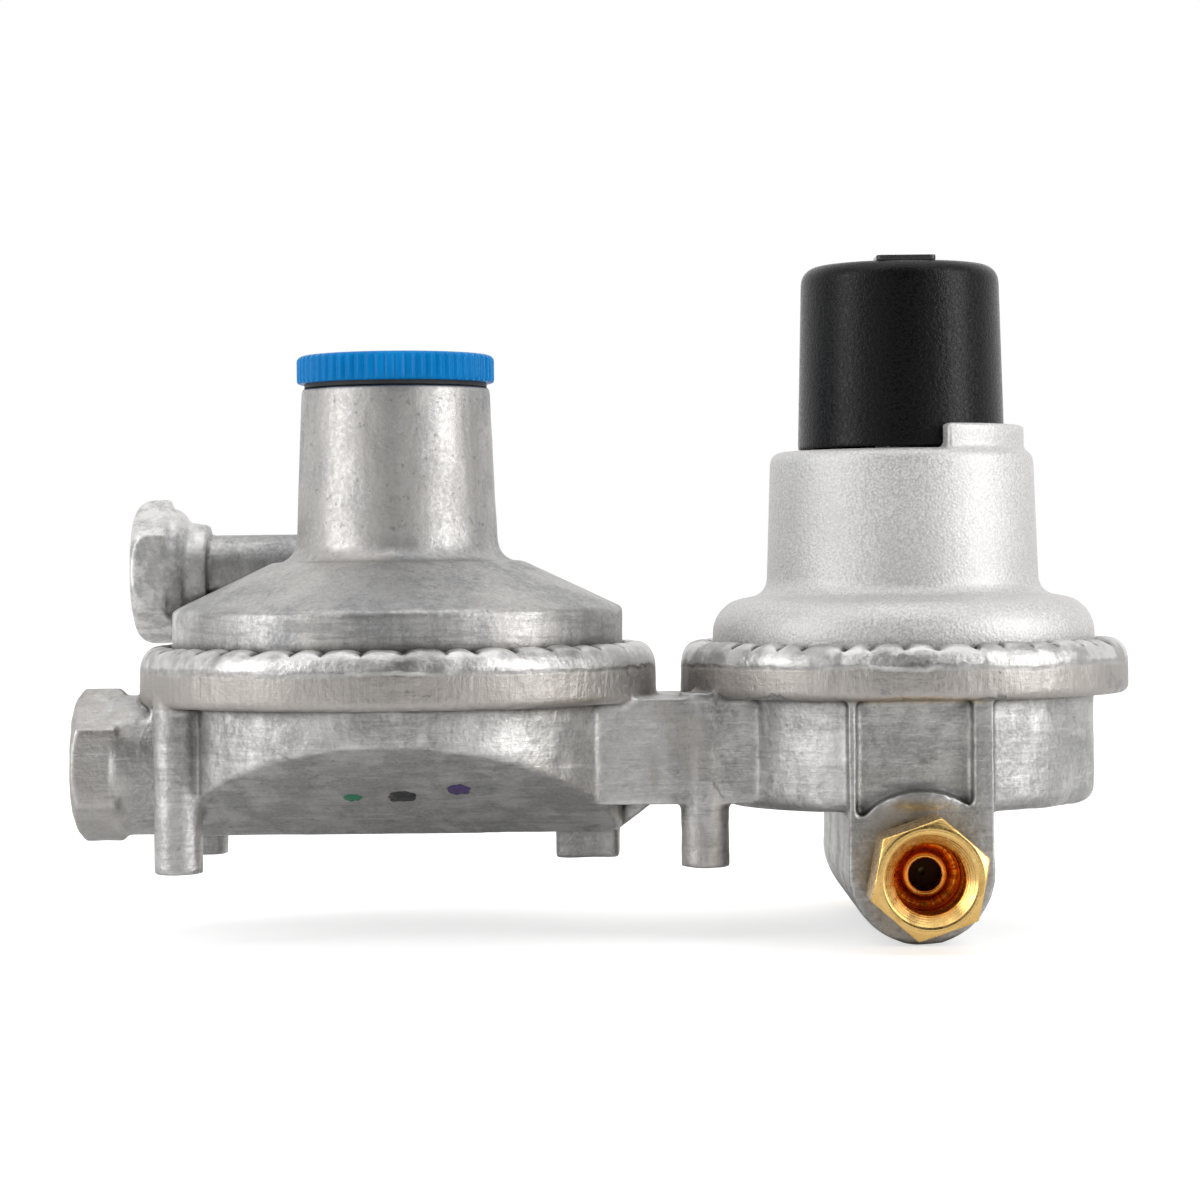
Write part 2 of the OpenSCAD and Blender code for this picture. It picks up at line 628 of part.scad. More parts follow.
module first_bonnet() {
    flange_r = ring1_r - ring_w - 0.3;
    shoulder_z = lip_top + 1;
    neck_start = shoulder_z + 8.5;
    color("lightgray") at_first() {
        difference() {
            rotate_extrude() polygon(concat(
                [[0, rim_top], [flange_r, rim_top], [flange_r, lip_under], [band1_r, lip_under],
                 [band1_r, shoulder_z]],
                arc(band1_r - 6, shoulder_z, 6, 0, 80, 6),
                arc(neck_foot_r + 3.1, neck_start + 0.7, 3, 262, 184, 5),
                arc(neck_top_r - 2, neck_z - 2, 2, 0, 90), [[0, neck_z]]));
            rotate_extrude() polygon([[0, rim_top - 1], [cavity1_r + 2, rim_top - 1],
                [cavity1_r + 2, shoulder_z], [cavity1_r - 1, shoulder_z + 2.5],
                [spring1_r, shoulder_z + 3.5], [spring1_r, cam_top + seat_gap], [0, cam_top + seat_gap]]);
            disc(shaft_r + run, 0, neck_z + 1);
        }
        rotate([0, 0, -stop_half]) rotate_extrude(angle = 2 * stop_half)
            translate([knob_r + 0.4, neck_z - 0.1]) square([stop_r - knob_r - 0.4, stop_h + 0.1]);
    }
}
module first_diaphragm() {
    color("black") at_first() diaphragm(ring1_r - ring_w - 0.1, cavity1_r, plate1_r + 0.5, stem1_r + run, sag1);
}
module first_upper_plate() {
    color("lightsteelblue") at_first() {
        washer(plate1_r, stem1_r + run, plate1_z, plate1_z + plate_t);
        washer(plate1_r, plate1_r - 1, plate1_z + plate_t, plate1_z + plate_t + 1.5);
    }
}
module first_lower_plate() {
    color("lightsteelblue") at_first() washer(plate1_r - 2, stem1_r + run, ledge_z - sag1 - 1, ledge_z - sag1);
}
module first_stem() {
    color("whitesmoke") at_first() {
        disc(stem1_r, stem1_foot_z, plate1_z + 5);
        disc(5.4, stem1_foot_z, stem1_foot_z + 1.6);
        washer(7, 2.5, ledge_z - sag1 - 2.5, ledge_z - sag1 - 1);
    }
}
module first_stem_nut() {
    color("goldenrod") at_first() difference() {
        translate([0, 0, plate1_z + plate_t]) cylinder(r = 5.8, h = 3, $fn = 6);
        disc(stem1_r + run, 0, neck_z);
    }
}
module first_main_spring() {
    color("dimgray") at_first() coil(spring1_r - 6.5, 1.3, plate1_z + plate_t + 0.05, seat1_top - 1.55, 6);
}
module first_spring_seat() {
    color("lightgray") at_first() washer(spring1_r - 0.7, shaft_r - 0.4, seat1_top - 1.5, seat1_top);
}
module changeover_cam_shaft() {
    flat_x = shaft_r - 1;
    color("gray") at_first() difference() {
        union() {
            disc(shaft_r, cam_top - 1, hub_z + 4);
            disc(spring1_r - 7.5, cam_top - 2.3, cam_top);
            // Lobe that presses one side of the spring seat
            translate([0, 7, 0]) disc(4, seat1_top + seat_gap, cam_top - 2);
        }
        disc(rod_r + 2 * run, 0, knob_z);
        block(flat_x, flat_x + 5, -5, 5, hub_z - hub_boss - 1, knob_z);
        // O-ring groove, and the clip's groove above the hub
        washer(shaft_r + 1, shaft_r - 0.9, neck_z - 3, neck_z - 1.4);
        washer(shaft_r + 1, shaft_r - 0.8, hub_z + 2, hub_z + 2.9);
    }
}
module shaft_o_ring() {
    o_r = 0.4;
    color("black") at_first() translate([0, 0, neck_z - 2.2]) rotate_extrude()
        translate([shaft_r - 0.42, 0]) circle(r = o_r, $fn = 24);
}
module knob() {
    inner = knob_wall;
    lug_half = 90 - stop_half - 0.6;
    color([0.08, 0.08, 0.08]) at_first() {
        difference() {
            rotate_extrude() polygon(concat([[0, knob_foot_z], [knob_r, knob_foot_z]],
                arc(knob_top_r - knob_round, knob_z - knob_round, knob_round, 0, 90, 6), [[0, knob_z]]));
            rotate_extrude() polygon([[0, knob_foot_z - 1], [knob_r - inner, knob_foot_z - 1],
                [knob_top_r - inner, knob_z - 2.8], [0, knob_z - 2.8]]);
            translate([0, window_y, 0]) block(-4.5, 4.5, -3.25, 3.25, knob_z - 4, knob_z + 1);
        }
        // Stop lug on the skirt, and the arrow on top that points the same way
        rotate([0, 0, 90 - lug_half]) rotate_extrude(angle = 2 * lug_half)
            translate([knob_r - 1, knob_foot_z + 0.1]) square([stop_r - knob_r + 0.8, stop_h - 0.7]);
        translate([0, 0, knob_z - 0.5]) linear_extrude(1)
            polygon([[-1.4, -2], [1.4, -2], [1.4, 7], [4, 7], [0, 12], [-4, 7], [-1.4, 7]]);
    }
}
module knob_hub() {
    taper = (knob_r - knob_top_r) / (knob_z - knob_foot_z);
    hub_disc_r = knob_r - knob_wall - taper * (hub_z + 2 - knob_foot_z) - 0.15;
    color("dimgray") at_first() difference() {
        union() {
            disc(hub_disc_r, hub_z, hub_z + 2);
            disc(7, hub_z - hub_boss, hub_z + 1);
        }
        difference() {
            disc(shaft_r + run, hub_z - hub_boss - 1, hub_z + 3);
            block(shaft_r - 1 + run, shaft_r + 4, -6, 6, hub_z - hub_boss - 2, hub_z + 4);
        }
    }
}
module hub_clip() {
    color("lightgray") at_first() washer(6.4, shaft_r - 0.75, hub_z + 2.05, hub_z + 2.85);
}
module indicator_window() {
    color([0.12, 0.12, 0.13, 0.6]) at_first() translate([0, window_y, 0]) {
        block(-4.4, 4.4, -3.15, 3.15, knob_z - 2.6, knob_z);
        rounded_block(-5, 5, -3.75, 3.75, knob_z, knob_z + window_rise, 1);
    }
}
module indicator_rod() {
    color("silver") at_first() disc(rod_r, plate1_z + 5 + seat_gap, flag_z);
}
module indicator_flag() {
    color("crimson") at_first() {
        disc(knob_top_r - 3.9, flag_z, flag_z + 1);
        washer(2.4, rod_r, flag_z - 2, flag_z);
    }
}

// Front lever: its tongue hangs in the inlet tube and its long arm lies under the stem's foot
module inlet_lever() {
    p = pivot1;
    tip_y = p[0] + arm1;
    tip_z = stem1_foot_z - seat_gap;
    color("lightgray") at_first() difference() {
        union() {
            translate([0, p[0], 0]) bar_x(2.3, -3.4, 3.4, p[1]);
            translate([-2.4, 0, 0]) rotate([90, 0, 90]) linear_extrude(4.8)
                polygon([[p[0], p[1] - 1], [p[0] + 1.2, p[1] - 1], [-6, tip_z - 2.6],
                    [tip_y - 0.3, tip_z - 1.6], [tip_y, tip_z - 0.8], [tip_y - 0.3, tip_z],
                    [-6.6, tip_z - 0.9], [p[0], p[1] + 1.4]]);
            block(-1.8, 1.8, p[0] - 0.6, p[0] + 0.6, inlet_z - 0.8, p[1]);
        }
        translate([0, p[0], 0]) bar_x(pin1_r + run, -10, 10, p[1]);
    }
}
module lever_pin() {
    color("gray") at_first() translate([0, pivot1[0], 0]) bar_x(pin1_r, -8.4, 8.4, pivot1[1]);
}
module inlet_fitting() {
    corner_r = fitting_af / sqrt(3);
    hex_end = -fitting_reach + fitting_hex;
    port_end = -fitting_reach + port_depth;
    color("gold") at_first() translate([0, 0, inlet_z]) rotate([-90, 0, 0]) difference() {
        union() {
            intersection() {
                rotate([0, 0, -fitting_turn]) translate([0, 0, -fitting_reach])
                    cylinder(r = corner_r, h = fitting_hex, $fn = 6);
                rotate_extrude() polygon([[0, -fitting_reach], [fitting_af / 2 - 0.2, -fitting_reach],
                    [corner_r + 0.2, -fitting_reach + 1], [corner_r + 0.2, hex_end - 0.8],
                    [fitting_af / 2, hex_end], [0, hex_end]]);
            }
            disc(fitting_af / 2 - 0.6, hex_end - 1, -inlet_half);
            disc(shank_r, -inlet_half - 1, seat_ring_y);
        }
        disc(port_r, -fitting_reach - 1, port_end);
        // Mouth chamfer, flare seat and the annular groove round the seat
        translate([0, 0, -fitting_reach - 0.05]) cylinder(r1 = port_r + 2, r2 = port_r - 0.05, h = 2);
        difference() {
            disc(port_r - 0.3, port_end - 1, port_end + 3.2);
            translate([0, 0, port_end]) cylinder(r1 = 3.4, r2 = 5.2, h = 3.3);
        }
        disc(flare_hole_r, -fitting_reach, 0);
        disc(chamber_r, seat_ring_y - 12, 0);
    }
}
module inlet_filter() {
    color("peru") at_first() difference() {
        bar_y(chamber_r - 0.1, seat_ring_y - 12, seat_ring_y - 11, inlet_z);
        bar_y(0.6, -60, 0, inlet_z);
    }
}
poppet_face = seat_ring_y - 3.2 - close1 - 0.02;
module inlet_poppet() {
    color("goldenrod") at_first() difference() {
        union() {
            bar_y(chamber_r - 0.35, poppet_face - 3, poppet_face - 0.1, inlet_z);
            bar_y(1.4, poppet_face - 1, poppet_tip_y + 0.1, inlet_z);
        }
        washer_y(3.7, 1.4, poppet_face - 1.3, poppet_face + 1);
        // Gas passes along four flutes
        for (a = [45:90:315]) translate([5.2 * cos(a), poppet_face - 5, inlet_z + 5.2 * sin(a)])
            rotate([-90, 0, 0]) cylinder(r = 1.1, h = 8);
    }
}
module washer_y(r, hole, y0, y1) {
    difference() {
        bar_y(r, y0, y1, inlet_z);
        bar_y(hole, y0 - 1, y1 + 1, inlet_z);
    }
}
module poppet_disc() { color("black") at_first() washer_y(3.6, 1.5, poppet_face - 1.3, poppet_face); }
module poppet_spring() {
    color("dimgray") at_first() translate([0, 0, inlet_z]) rotate([-90, 0, 0])
        coil(2.6, 0.35, seat_ring_y - 10.95, poppet_face - 3.05, 4, 12);
}
module seat_ring() {
    color("gold") at_first() difference() {
        union() {
            bar_y(chamber_r - run, seat_ring_y - 2.4, seat_ring_y, inlet_z);
            bar_y(2.9, seat_ring_y - 3.2, seat_ring_y - 2, inlet_z);
        }
        bar_y(2.1, -60, 0, inlet_z);
    }
}
module back() { mirror([0, 1, 0]) children(); }

body_casting();
second_bonnet();
vent_screen();
vent_screen_ring();
closing_cap();
cap_gasket();
adjusting_screw();
upper_spring_seat();
second_main_spring();
second_diaphragm();
second_plate();
second_stem();
relief_spring();
relief_retainer();
second_lever();
second_lever_pin();
second_valve_holder();
second_valve_disc();
second_orifice();
first_bonnet();
first_diaphragm();
first_upper_plate();
first_lower_plate();
first_stem();
first_stem_nut();
first_main_spring();
first_spring_seat();
changeover_cam_shaft();
shaft_o_ring();
knob();
knob_hub();
hub_clip();
indicator_window();
indicator_rod();
indicator_flag();
inlet_lever();  // front_lever
back() inlet_lever();  // back_lever
lever_pin();  // front_lever_pin
back() lever_pin();  // back_lever_pin
inlet_fitting();  // front_inlet_fitting
back() inlet_fitting();  // back_inlet_fitting
inlet_filter();  // front_filter
back() inlet_filter();  // back_filter
inlet_poppet();  // front_poppet
back() inlet_poppet();  // back_poppet
poppet_disc();  // front_poppet_disc
back() poppet_disc();  // back_poppet_disc
poppet_spring();  // front_poppet_spring
back() poppet_spring();  // back_poppet_spring
seat_ring();  // front_seat_ring
back() seat_ring();  // back_seat_ring
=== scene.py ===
"""Dresses the two-stage changeover regulator: castings, knob, cap, brass fittings, inner parts and studio."""

import json
import math

import bmesh
import bpy
from mathutils import Matrix, Vector, noise

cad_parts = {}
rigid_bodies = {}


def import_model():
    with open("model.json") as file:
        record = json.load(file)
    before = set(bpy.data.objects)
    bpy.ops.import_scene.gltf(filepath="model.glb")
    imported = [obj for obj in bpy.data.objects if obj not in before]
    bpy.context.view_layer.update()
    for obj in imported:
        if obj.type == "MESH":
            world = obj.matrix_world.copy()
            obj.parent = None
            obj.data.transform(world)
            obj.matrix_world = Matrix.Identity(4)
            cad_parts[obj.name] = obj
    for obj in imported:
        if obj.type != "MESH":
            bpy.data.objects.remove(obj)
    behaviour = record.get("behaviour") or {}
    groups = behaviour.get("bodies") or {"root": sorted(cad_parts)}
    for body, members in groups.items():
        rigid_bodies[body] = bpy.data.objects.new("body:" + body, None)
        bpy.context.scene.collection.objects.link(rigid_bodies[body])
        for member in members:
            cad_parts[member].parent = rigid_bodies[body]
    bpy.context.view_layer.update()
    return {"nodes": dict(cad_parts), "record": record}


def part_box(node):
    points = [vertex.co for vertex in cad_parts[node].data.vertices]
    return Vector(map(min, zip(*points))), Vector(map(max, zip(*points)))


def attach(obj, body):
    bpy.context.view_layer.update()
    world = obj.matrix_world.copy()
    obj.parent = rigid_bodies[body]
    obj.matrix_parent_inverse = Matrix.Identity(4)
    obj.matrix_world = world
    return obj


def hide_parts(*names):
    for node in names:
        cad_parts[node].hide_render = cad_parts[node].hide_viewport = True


bl_info = {
    "name": "Changeover regulator dresser",
    "version": (1, 0, 0),
    "blender": (4, 5, 0),
    "location": "3D View > Sidebar > Regulator",
    "description": "Builds the visible finish of a two-stage changeover regulator around its packed frame",
    "category": "Object",
}

for leftover in list(bpy.data.objects):
    bpy.data.objects.remove(leftover)

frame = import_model()

MM = 0.001
FULL_TURN = 2 * math.pi
BODY = "regulator_body"
KNOB_BODY = "changeover_knob"


def joint_place(name):
    """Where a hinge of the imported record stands, as a vector in metres."""
    for joint in frame["record"]["behaviour"]["joints"]:
        if joint["name"] == name:
            return Vector(joint["pos_m"])
    raise RuntimeError("no joint called " + name)


FIRST_AXIS = joint_place("knob_turn")
SECOND_AXIS = joint_place("cap_turn")
INLET_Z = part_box("front_filter")[0].z * 0.5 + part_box("front_filter")[1].z * 0.5
BODY_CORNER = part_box("body_casting")[1]
RING_FIRST_R = BODY_CORNER.x - FIRST_AXIS.x
RING_SECOND_R = BODY_CORNER.y
LIP_TOP = BODY_CORNER.z

# Heights on both clamping rings: the filed wall's ends, and the foot of the bright lip
WALL_LOW = 39.2 * MM
WALL_HIGH = 45.4 * MM
LIP_FOOT = 44.8 * MM
LIP_DEPTH = 3.2 * MM
LIP_WIDTH = 6.2 * MM
# Where a brass port's thread is: radii of the port's wall, depths behind the mouth, and how deep it cuts
PORT_WALL = (5.3 * MM, 5.75 * MM)
PORT_THREAD = (2.4 * MM, 9.2 * MM)
THREAD_DEPTH = 0.14 * MM
# Reach of the painted shade in the castings' inner corners
CORNER_SHADE_REACH = 2.6 * MM
# How far a skin stays inside its solid's box
BOX_MARGIN = 2e-6


# ---------------------------------------------------------------- settings


class CastingSettings(bpy.types.PropertyGroup):
    """Sizes and colours of the zinc castings."""

    voxel: bpy.props.FloatProperty(
        name="Skin voxel", description="Grid size used to round the casting's edges", default=0.5 * MM,
        min=0.3 * MM, max=1.5 * MM, unit="LENGTH")
    fine_voxel: bpy.props.FloatProperty(
        name="Fine voxel", description="Grid size for small pieces", default=0.26 * MM, min=0.15 * MM,
        max=1.0 * MM, unit="LENGTH")
    rounding: bpy.props.IntProperty(
        name="Edge rounding", description="Smoothing passes over a casting's skin", default=5, min=1, max=30)
    crimps: bpy.props.IntProperty(
        name="Crimps", description="Number of crimps round each clamping lip", default=42, min=12, max=60)
    crimp_depth: bpy.props.FloatProperty(
        name="Crimp depth", description="How far the notches sink between the crimps", default=1.7 * MM,
        min=0, max=3 * MM, unit="LENGTH")
    cast_colour: bpy.props.FloatVectorProperty(
        name="Cast metal", description="Main colour of the die-cast skin", subtype="COLOR", size=3,
        default=(0.54, 0.532, 0.52), min=0, max=1)
    stain_colour: bpy.props.FloatVectorProperty(
        name="Die stains", description="Colour of the darker stains on the skin", subtype="COLOR", size=3,
        default=(0.36, 0.357, 0.35), min=0, max=1)
    trim_colour: bpy.props.FloatVectorProperty(
        name="Trimmed metal", description="Colour where the flash was filed off", subtype="COLOR", size=3,
        default=(0.45, 0.425, 0.40), min=0, max=1)
    blast_colour: bpy.props.FloatVectorProperty(
        name="Blasted metal", description="Colour of the shot-blasted bonnet", subtype="COLOR", size=3,
        default=(0.775, 0.765, 0.758), min=0, max=1)


class PlasticSettings(bpy.types.PropertyGroup):
    """Sizes and colours of the moulded pieces."""

    knob_colour: bpy.props.FloatVectorProperty(
        name="Knob", description="Colour of the knob", subtype="COLOR", size=3,
        default=(0.0025, 0.0025, 0.003), min=0, max=1)
    cap_colour: bpy.props.FloatVectorProperty(
        name="Cap", description="Colour of the closing cap", subtype="COLOR", size=3,
        default=(0.0005, 0.18, 0.49), min=0, max=1)
    cap_ribs: bpy.props.IntProperty(
        name="Cap ribs", description="Grip ribs round the cap", default=60, min=20, max=90)
    rib_height: bpy.props.FloatProperty(
        name="Rib height", description="Height of a grip rib", default=0.36 * MM, min=0.1 * MM, max=1 * MM,
        unit="LENGTH")


class BrassSettings(bpy.types.PropertyGroup):
    """Sizes and colours of the brass fittings."""

    thread_pitch: bpy.props.FloatProperty(
        name="Port thread pitch", description="Pitch of the thread inside a port", default=1.06 * MM,
        min=0.5 * MM, max=2 * MM, unit="LENGTH")
    brass_colour: bpy.props.FloatVectorProperty(
        name="Brass", description="Colour of the turned brass", subtype="COLOR", size=3,
        default=(0.80, 0.53, 0.19), min=0, max=1)


class StageSettings(bpy.types.PropertyGroup):
    """Camera and studio."""

    camera_distance: bpy.props.FloatProperty(
        name="Camera distance", description="Distance from the plane of both axes", default=0.575, min=0.3,
        max=2, unit="LENGTH")
    camera_height: bpy.props.FloatProperty(
        name="Camera height", description="Height of the lens above the inlet tube's underside",
        default=0.0632, min=0, max=0.5, unit="LENGTH")
    lens: bpy.props.FloatProperty(
        name="Lens", description="Focal length on a 36 mm sensor, in millimetres", default=100.56, min=35,
        max=200)
    pitch: bpy.props.FloatProperty(
        name="Pitch", description="How far the camera looks down", default=math.radians(0.684),
        subtype="ANGLE")
    roll: bpy.props.FloatProperty(
        name="Roll", description="Clockwise roll of the camera", default=math.radians(0.6), subtype="ANGLE")


SETTINGS = {
    "regulator_casting": CastingSettings,
    "regulator_plastic": PlasticSettings,
    "regulator_brass": BrassSettings,
    "regulator_stage": StageSettings,
}


# ---------------------------------------------------------------- node helpers


class Finish:
    """A material under construction: small helpers around its node tree."""

    def __init__(self, name):
        self.material = bpy.data.materials.new(name)
        self.material.use_nodes = True
        self.tree = self.material.node_tree
        self.shader = next(n for n in self.tree.nodes if n.type == "BSDF_PRINCIPLED")
        self.place = self.tree.nodes.new("ShaderNodeTexCoord").outputs["Object"]
        self._axes = {}

    def feed(self, socket, value):
        """Links a socket to another, or writes a constant on it."""
        if isinstance(value, bpy.types.NodeSocket):
            self.tree.links.new(value, socket)
        elif isinstance(value, (tuple, list)) and socket.type == "RGBA":
            socket.default_value = (*value[:3], 1)
        else:
            socket.default_value = value

    def constant(self, **values):
        """Writes constants on the shader's own sockets."""
        for key, value in values.items():
            self.feed(self.shader.inputs[key.replace("_", " ")], value)

    def done(self, colour, roughness, normal):
        """Links the shader's three main sockets and gives the material back."""
        for key, value in (("Base Color", colour), ("Roughness", roughness), ("Normal", normal)):
            self.feed(self.shader.inputs[key], value)
        return self.material

    def math(self, operation, a, b=0.0, clamp=False):
        """One sum of two values."""
        node = self.tree.nodes.new("ShaderNodeMath")
        node.operation = operation
        node.use_clamp = clamp
        self.feed(node.inputs[0], a)
        self.feed(node.inputs[1], b)
        return node.outputs[0]

    def ramp(self, value, low, high, out_low=0.0, out_high=1.0):
        """Smooth step of a value from low to high."""
        node = self.tree.nodes.new("ShaderNodeMapRange")
        node.interpolation_type = "SMOOTHSTEP"
        self.feed(node.inputs["Value"], value)
        for key, number in (("From Min", low), ("From Max", high), ("To Min", out_low), ("To Max", out_high)):
            node.inputs[key].default_value = number
        return node.outputs["Result"]

    def band(self, value, rise_from, rise_to, fall_to, fall_from):
        """Mask of a value's middle part: it rises over the first pair and falls over the second."""
        return self.math("MULTIPLY", self.ramp(value, rise_from, rise_to), self.ramp(value, fall_to, fall_from))

    def stretched(self, scale):
        """Object coordinates stretched along the axes."""
        node = self.tree.nodes.new("ShaderNodeMapping")
        self.feed(node.inputs["Vector"], self.place)
        node.inputs["Scale"].default_value = scale
        return node.outputs["Vector"]

    def centred(self):
        """Coordinates from the inlet tube's axis."""
        node = self.tree.nodes.new("ShaderNodeMapping")
        self.feed(node.inputs["Vector"], self.place)
        node.inputs["Location"].default_value = (-FIRST_AXIS.x, 0, -INLET_Z)
        return node.outputs["Vector"]

    def noise(self, per_metre, detail=3.0, roughness=0.55, stretch=None, distortion=0.0):
        """Cloudy noise over the place, with so many clouds to the metre."""
        node = self.tree.nodes.new("ShaderNodeTexNoise")
        self.feed(node.inputs["Vector"], self.stretched(stretch) if stretch else self.place)
        node.inputs["Scale"].default_value = per_metre
        node.inputs["Detail"].default_value = detail
        node.inputs["Roughness"].default_value = roughness
        node.inputs["Distortion"].default_value = distortion
        return node.outputs["Fac"]

    def cells(self, per_metre):
        """Distance to the middle of the nearest of many small cells."""
        node = self.tree.nodes.new("ShaderNodeTexVoronoi")
        self.feed(node.inputs["Vector"], self.place)
        node.inputs["Scale"].default_value = per_metre
        return node.outputs["Distance"]

    def blend(self, mask, a, b):
        """Mixes two colours by a mask."""
        node = self.tree.nodes.new("ShaderNodeMix")
        node.data_type = "RGBA"
        self.feed(node.inputs["Factor"], mask)
        self.feed(node.inputs["A"], a)
        self.feed(node.inputs["B"], b)
        return node.outputs["Result"]

    def tint(self, colour, mask, strength, other):
        """Lays another colour over a colour, where a mask says and as strongly as given."""
        return self.blend(self.math("MULTIPLY", mask, strength), colour, other)

    def axis(self, letter):
        """One coordinate of the place, in metres."""
        if not self._axes:
            node = self.tree.nodes.new("ShaderNodeSeparateXYZ")
            self.feed(node.inputs[0], self.place)
            self._axes = {key: node.outputs[key] for key in "XYZ"}
        return self._axes[letter]

    def radius(self, first, first_at, second, second_at):
        """Distance from a line that crosses two axes at the given places, in metres."""
        a = self.math("SUBTRACT", self.axis(first), first_at)
        b = self.math("SUBTRACT", self.axis(second), second_at)
        return self.math("SQRT", self.math("ADD", self.math("MULTIPLY", a, a), self.math("MULTIPLY", b, b)))

    def ring_wall(self, axis, ring_r):
        """Mask of a clamping ring's outer wall."""
        out = self.radius("X", axis.x, "Y", axis.y)
        return self.band(out, ring_r - 1.6 * MM, ring_r - 1.0 * MM, ring_r + 0.8 * MM, ring_r + 0.3 * MM)

    def painted(self, name):
        """A value that the mesh carries at each point."""
        node = self.tree.nodes.new("ShaderNodeAttribute")
        node.attribute_name = name
        return node.outputs["Fac"]

    def edges(self, low, high):
        """Mask from the mesh's own convexity: ridges for wear with a painted highlight; with low above high,
        hollows for painted shade.
        """
        pointiness = self.tree.nodes.new("ShaderNodeNewGeometry").outputs["Pointiness"]
        return self.ramp(pointiness, low, high)

    def corner_shade(self, clouds, thin, thick):
        """Mask of painted shade in the inner corners, found by ambient occlusion: thin to thick, by the clouds.
        """
        node = self.tree.nodes.new("ShaderNodeAmbientOcclusion")
        node.samples = 6
        node.inputs["Distance"].default_value = CORNER_SHADE_REACH
        corners = self.ramp(node.outputs["AO"], 0.90, 0.52)
        return self.math("MULTIPLY", corners, self.ramp(clouds, 0.30, 0.55, thin, thick))

    def bump(self, height, distance, strength=1.0, under=None):
        """A relief of so many metres, on top of another where one is given."""
        node = self.tree.nodes.new("ShaderNodeBump")
        node.inputs["Strength"].default_value = strength
        node.inputs["Distance"].default_value = distance
        self.feed(node.inputs["Height"], height)
        if under is not None:
            self.feed(node.inputs["Normal"], under)
        return node.outputs["Normal"]


def once(make):
    """Makes a material the first time it is asked for, and keeps it."""
    kept = {}

    def get(*args):
        key = (make.__name__,) + args
        if key not in kept:
            kept[key] = make(*args)
        return kept[key]

    return get


# ---------------------------------------------------------------- materials


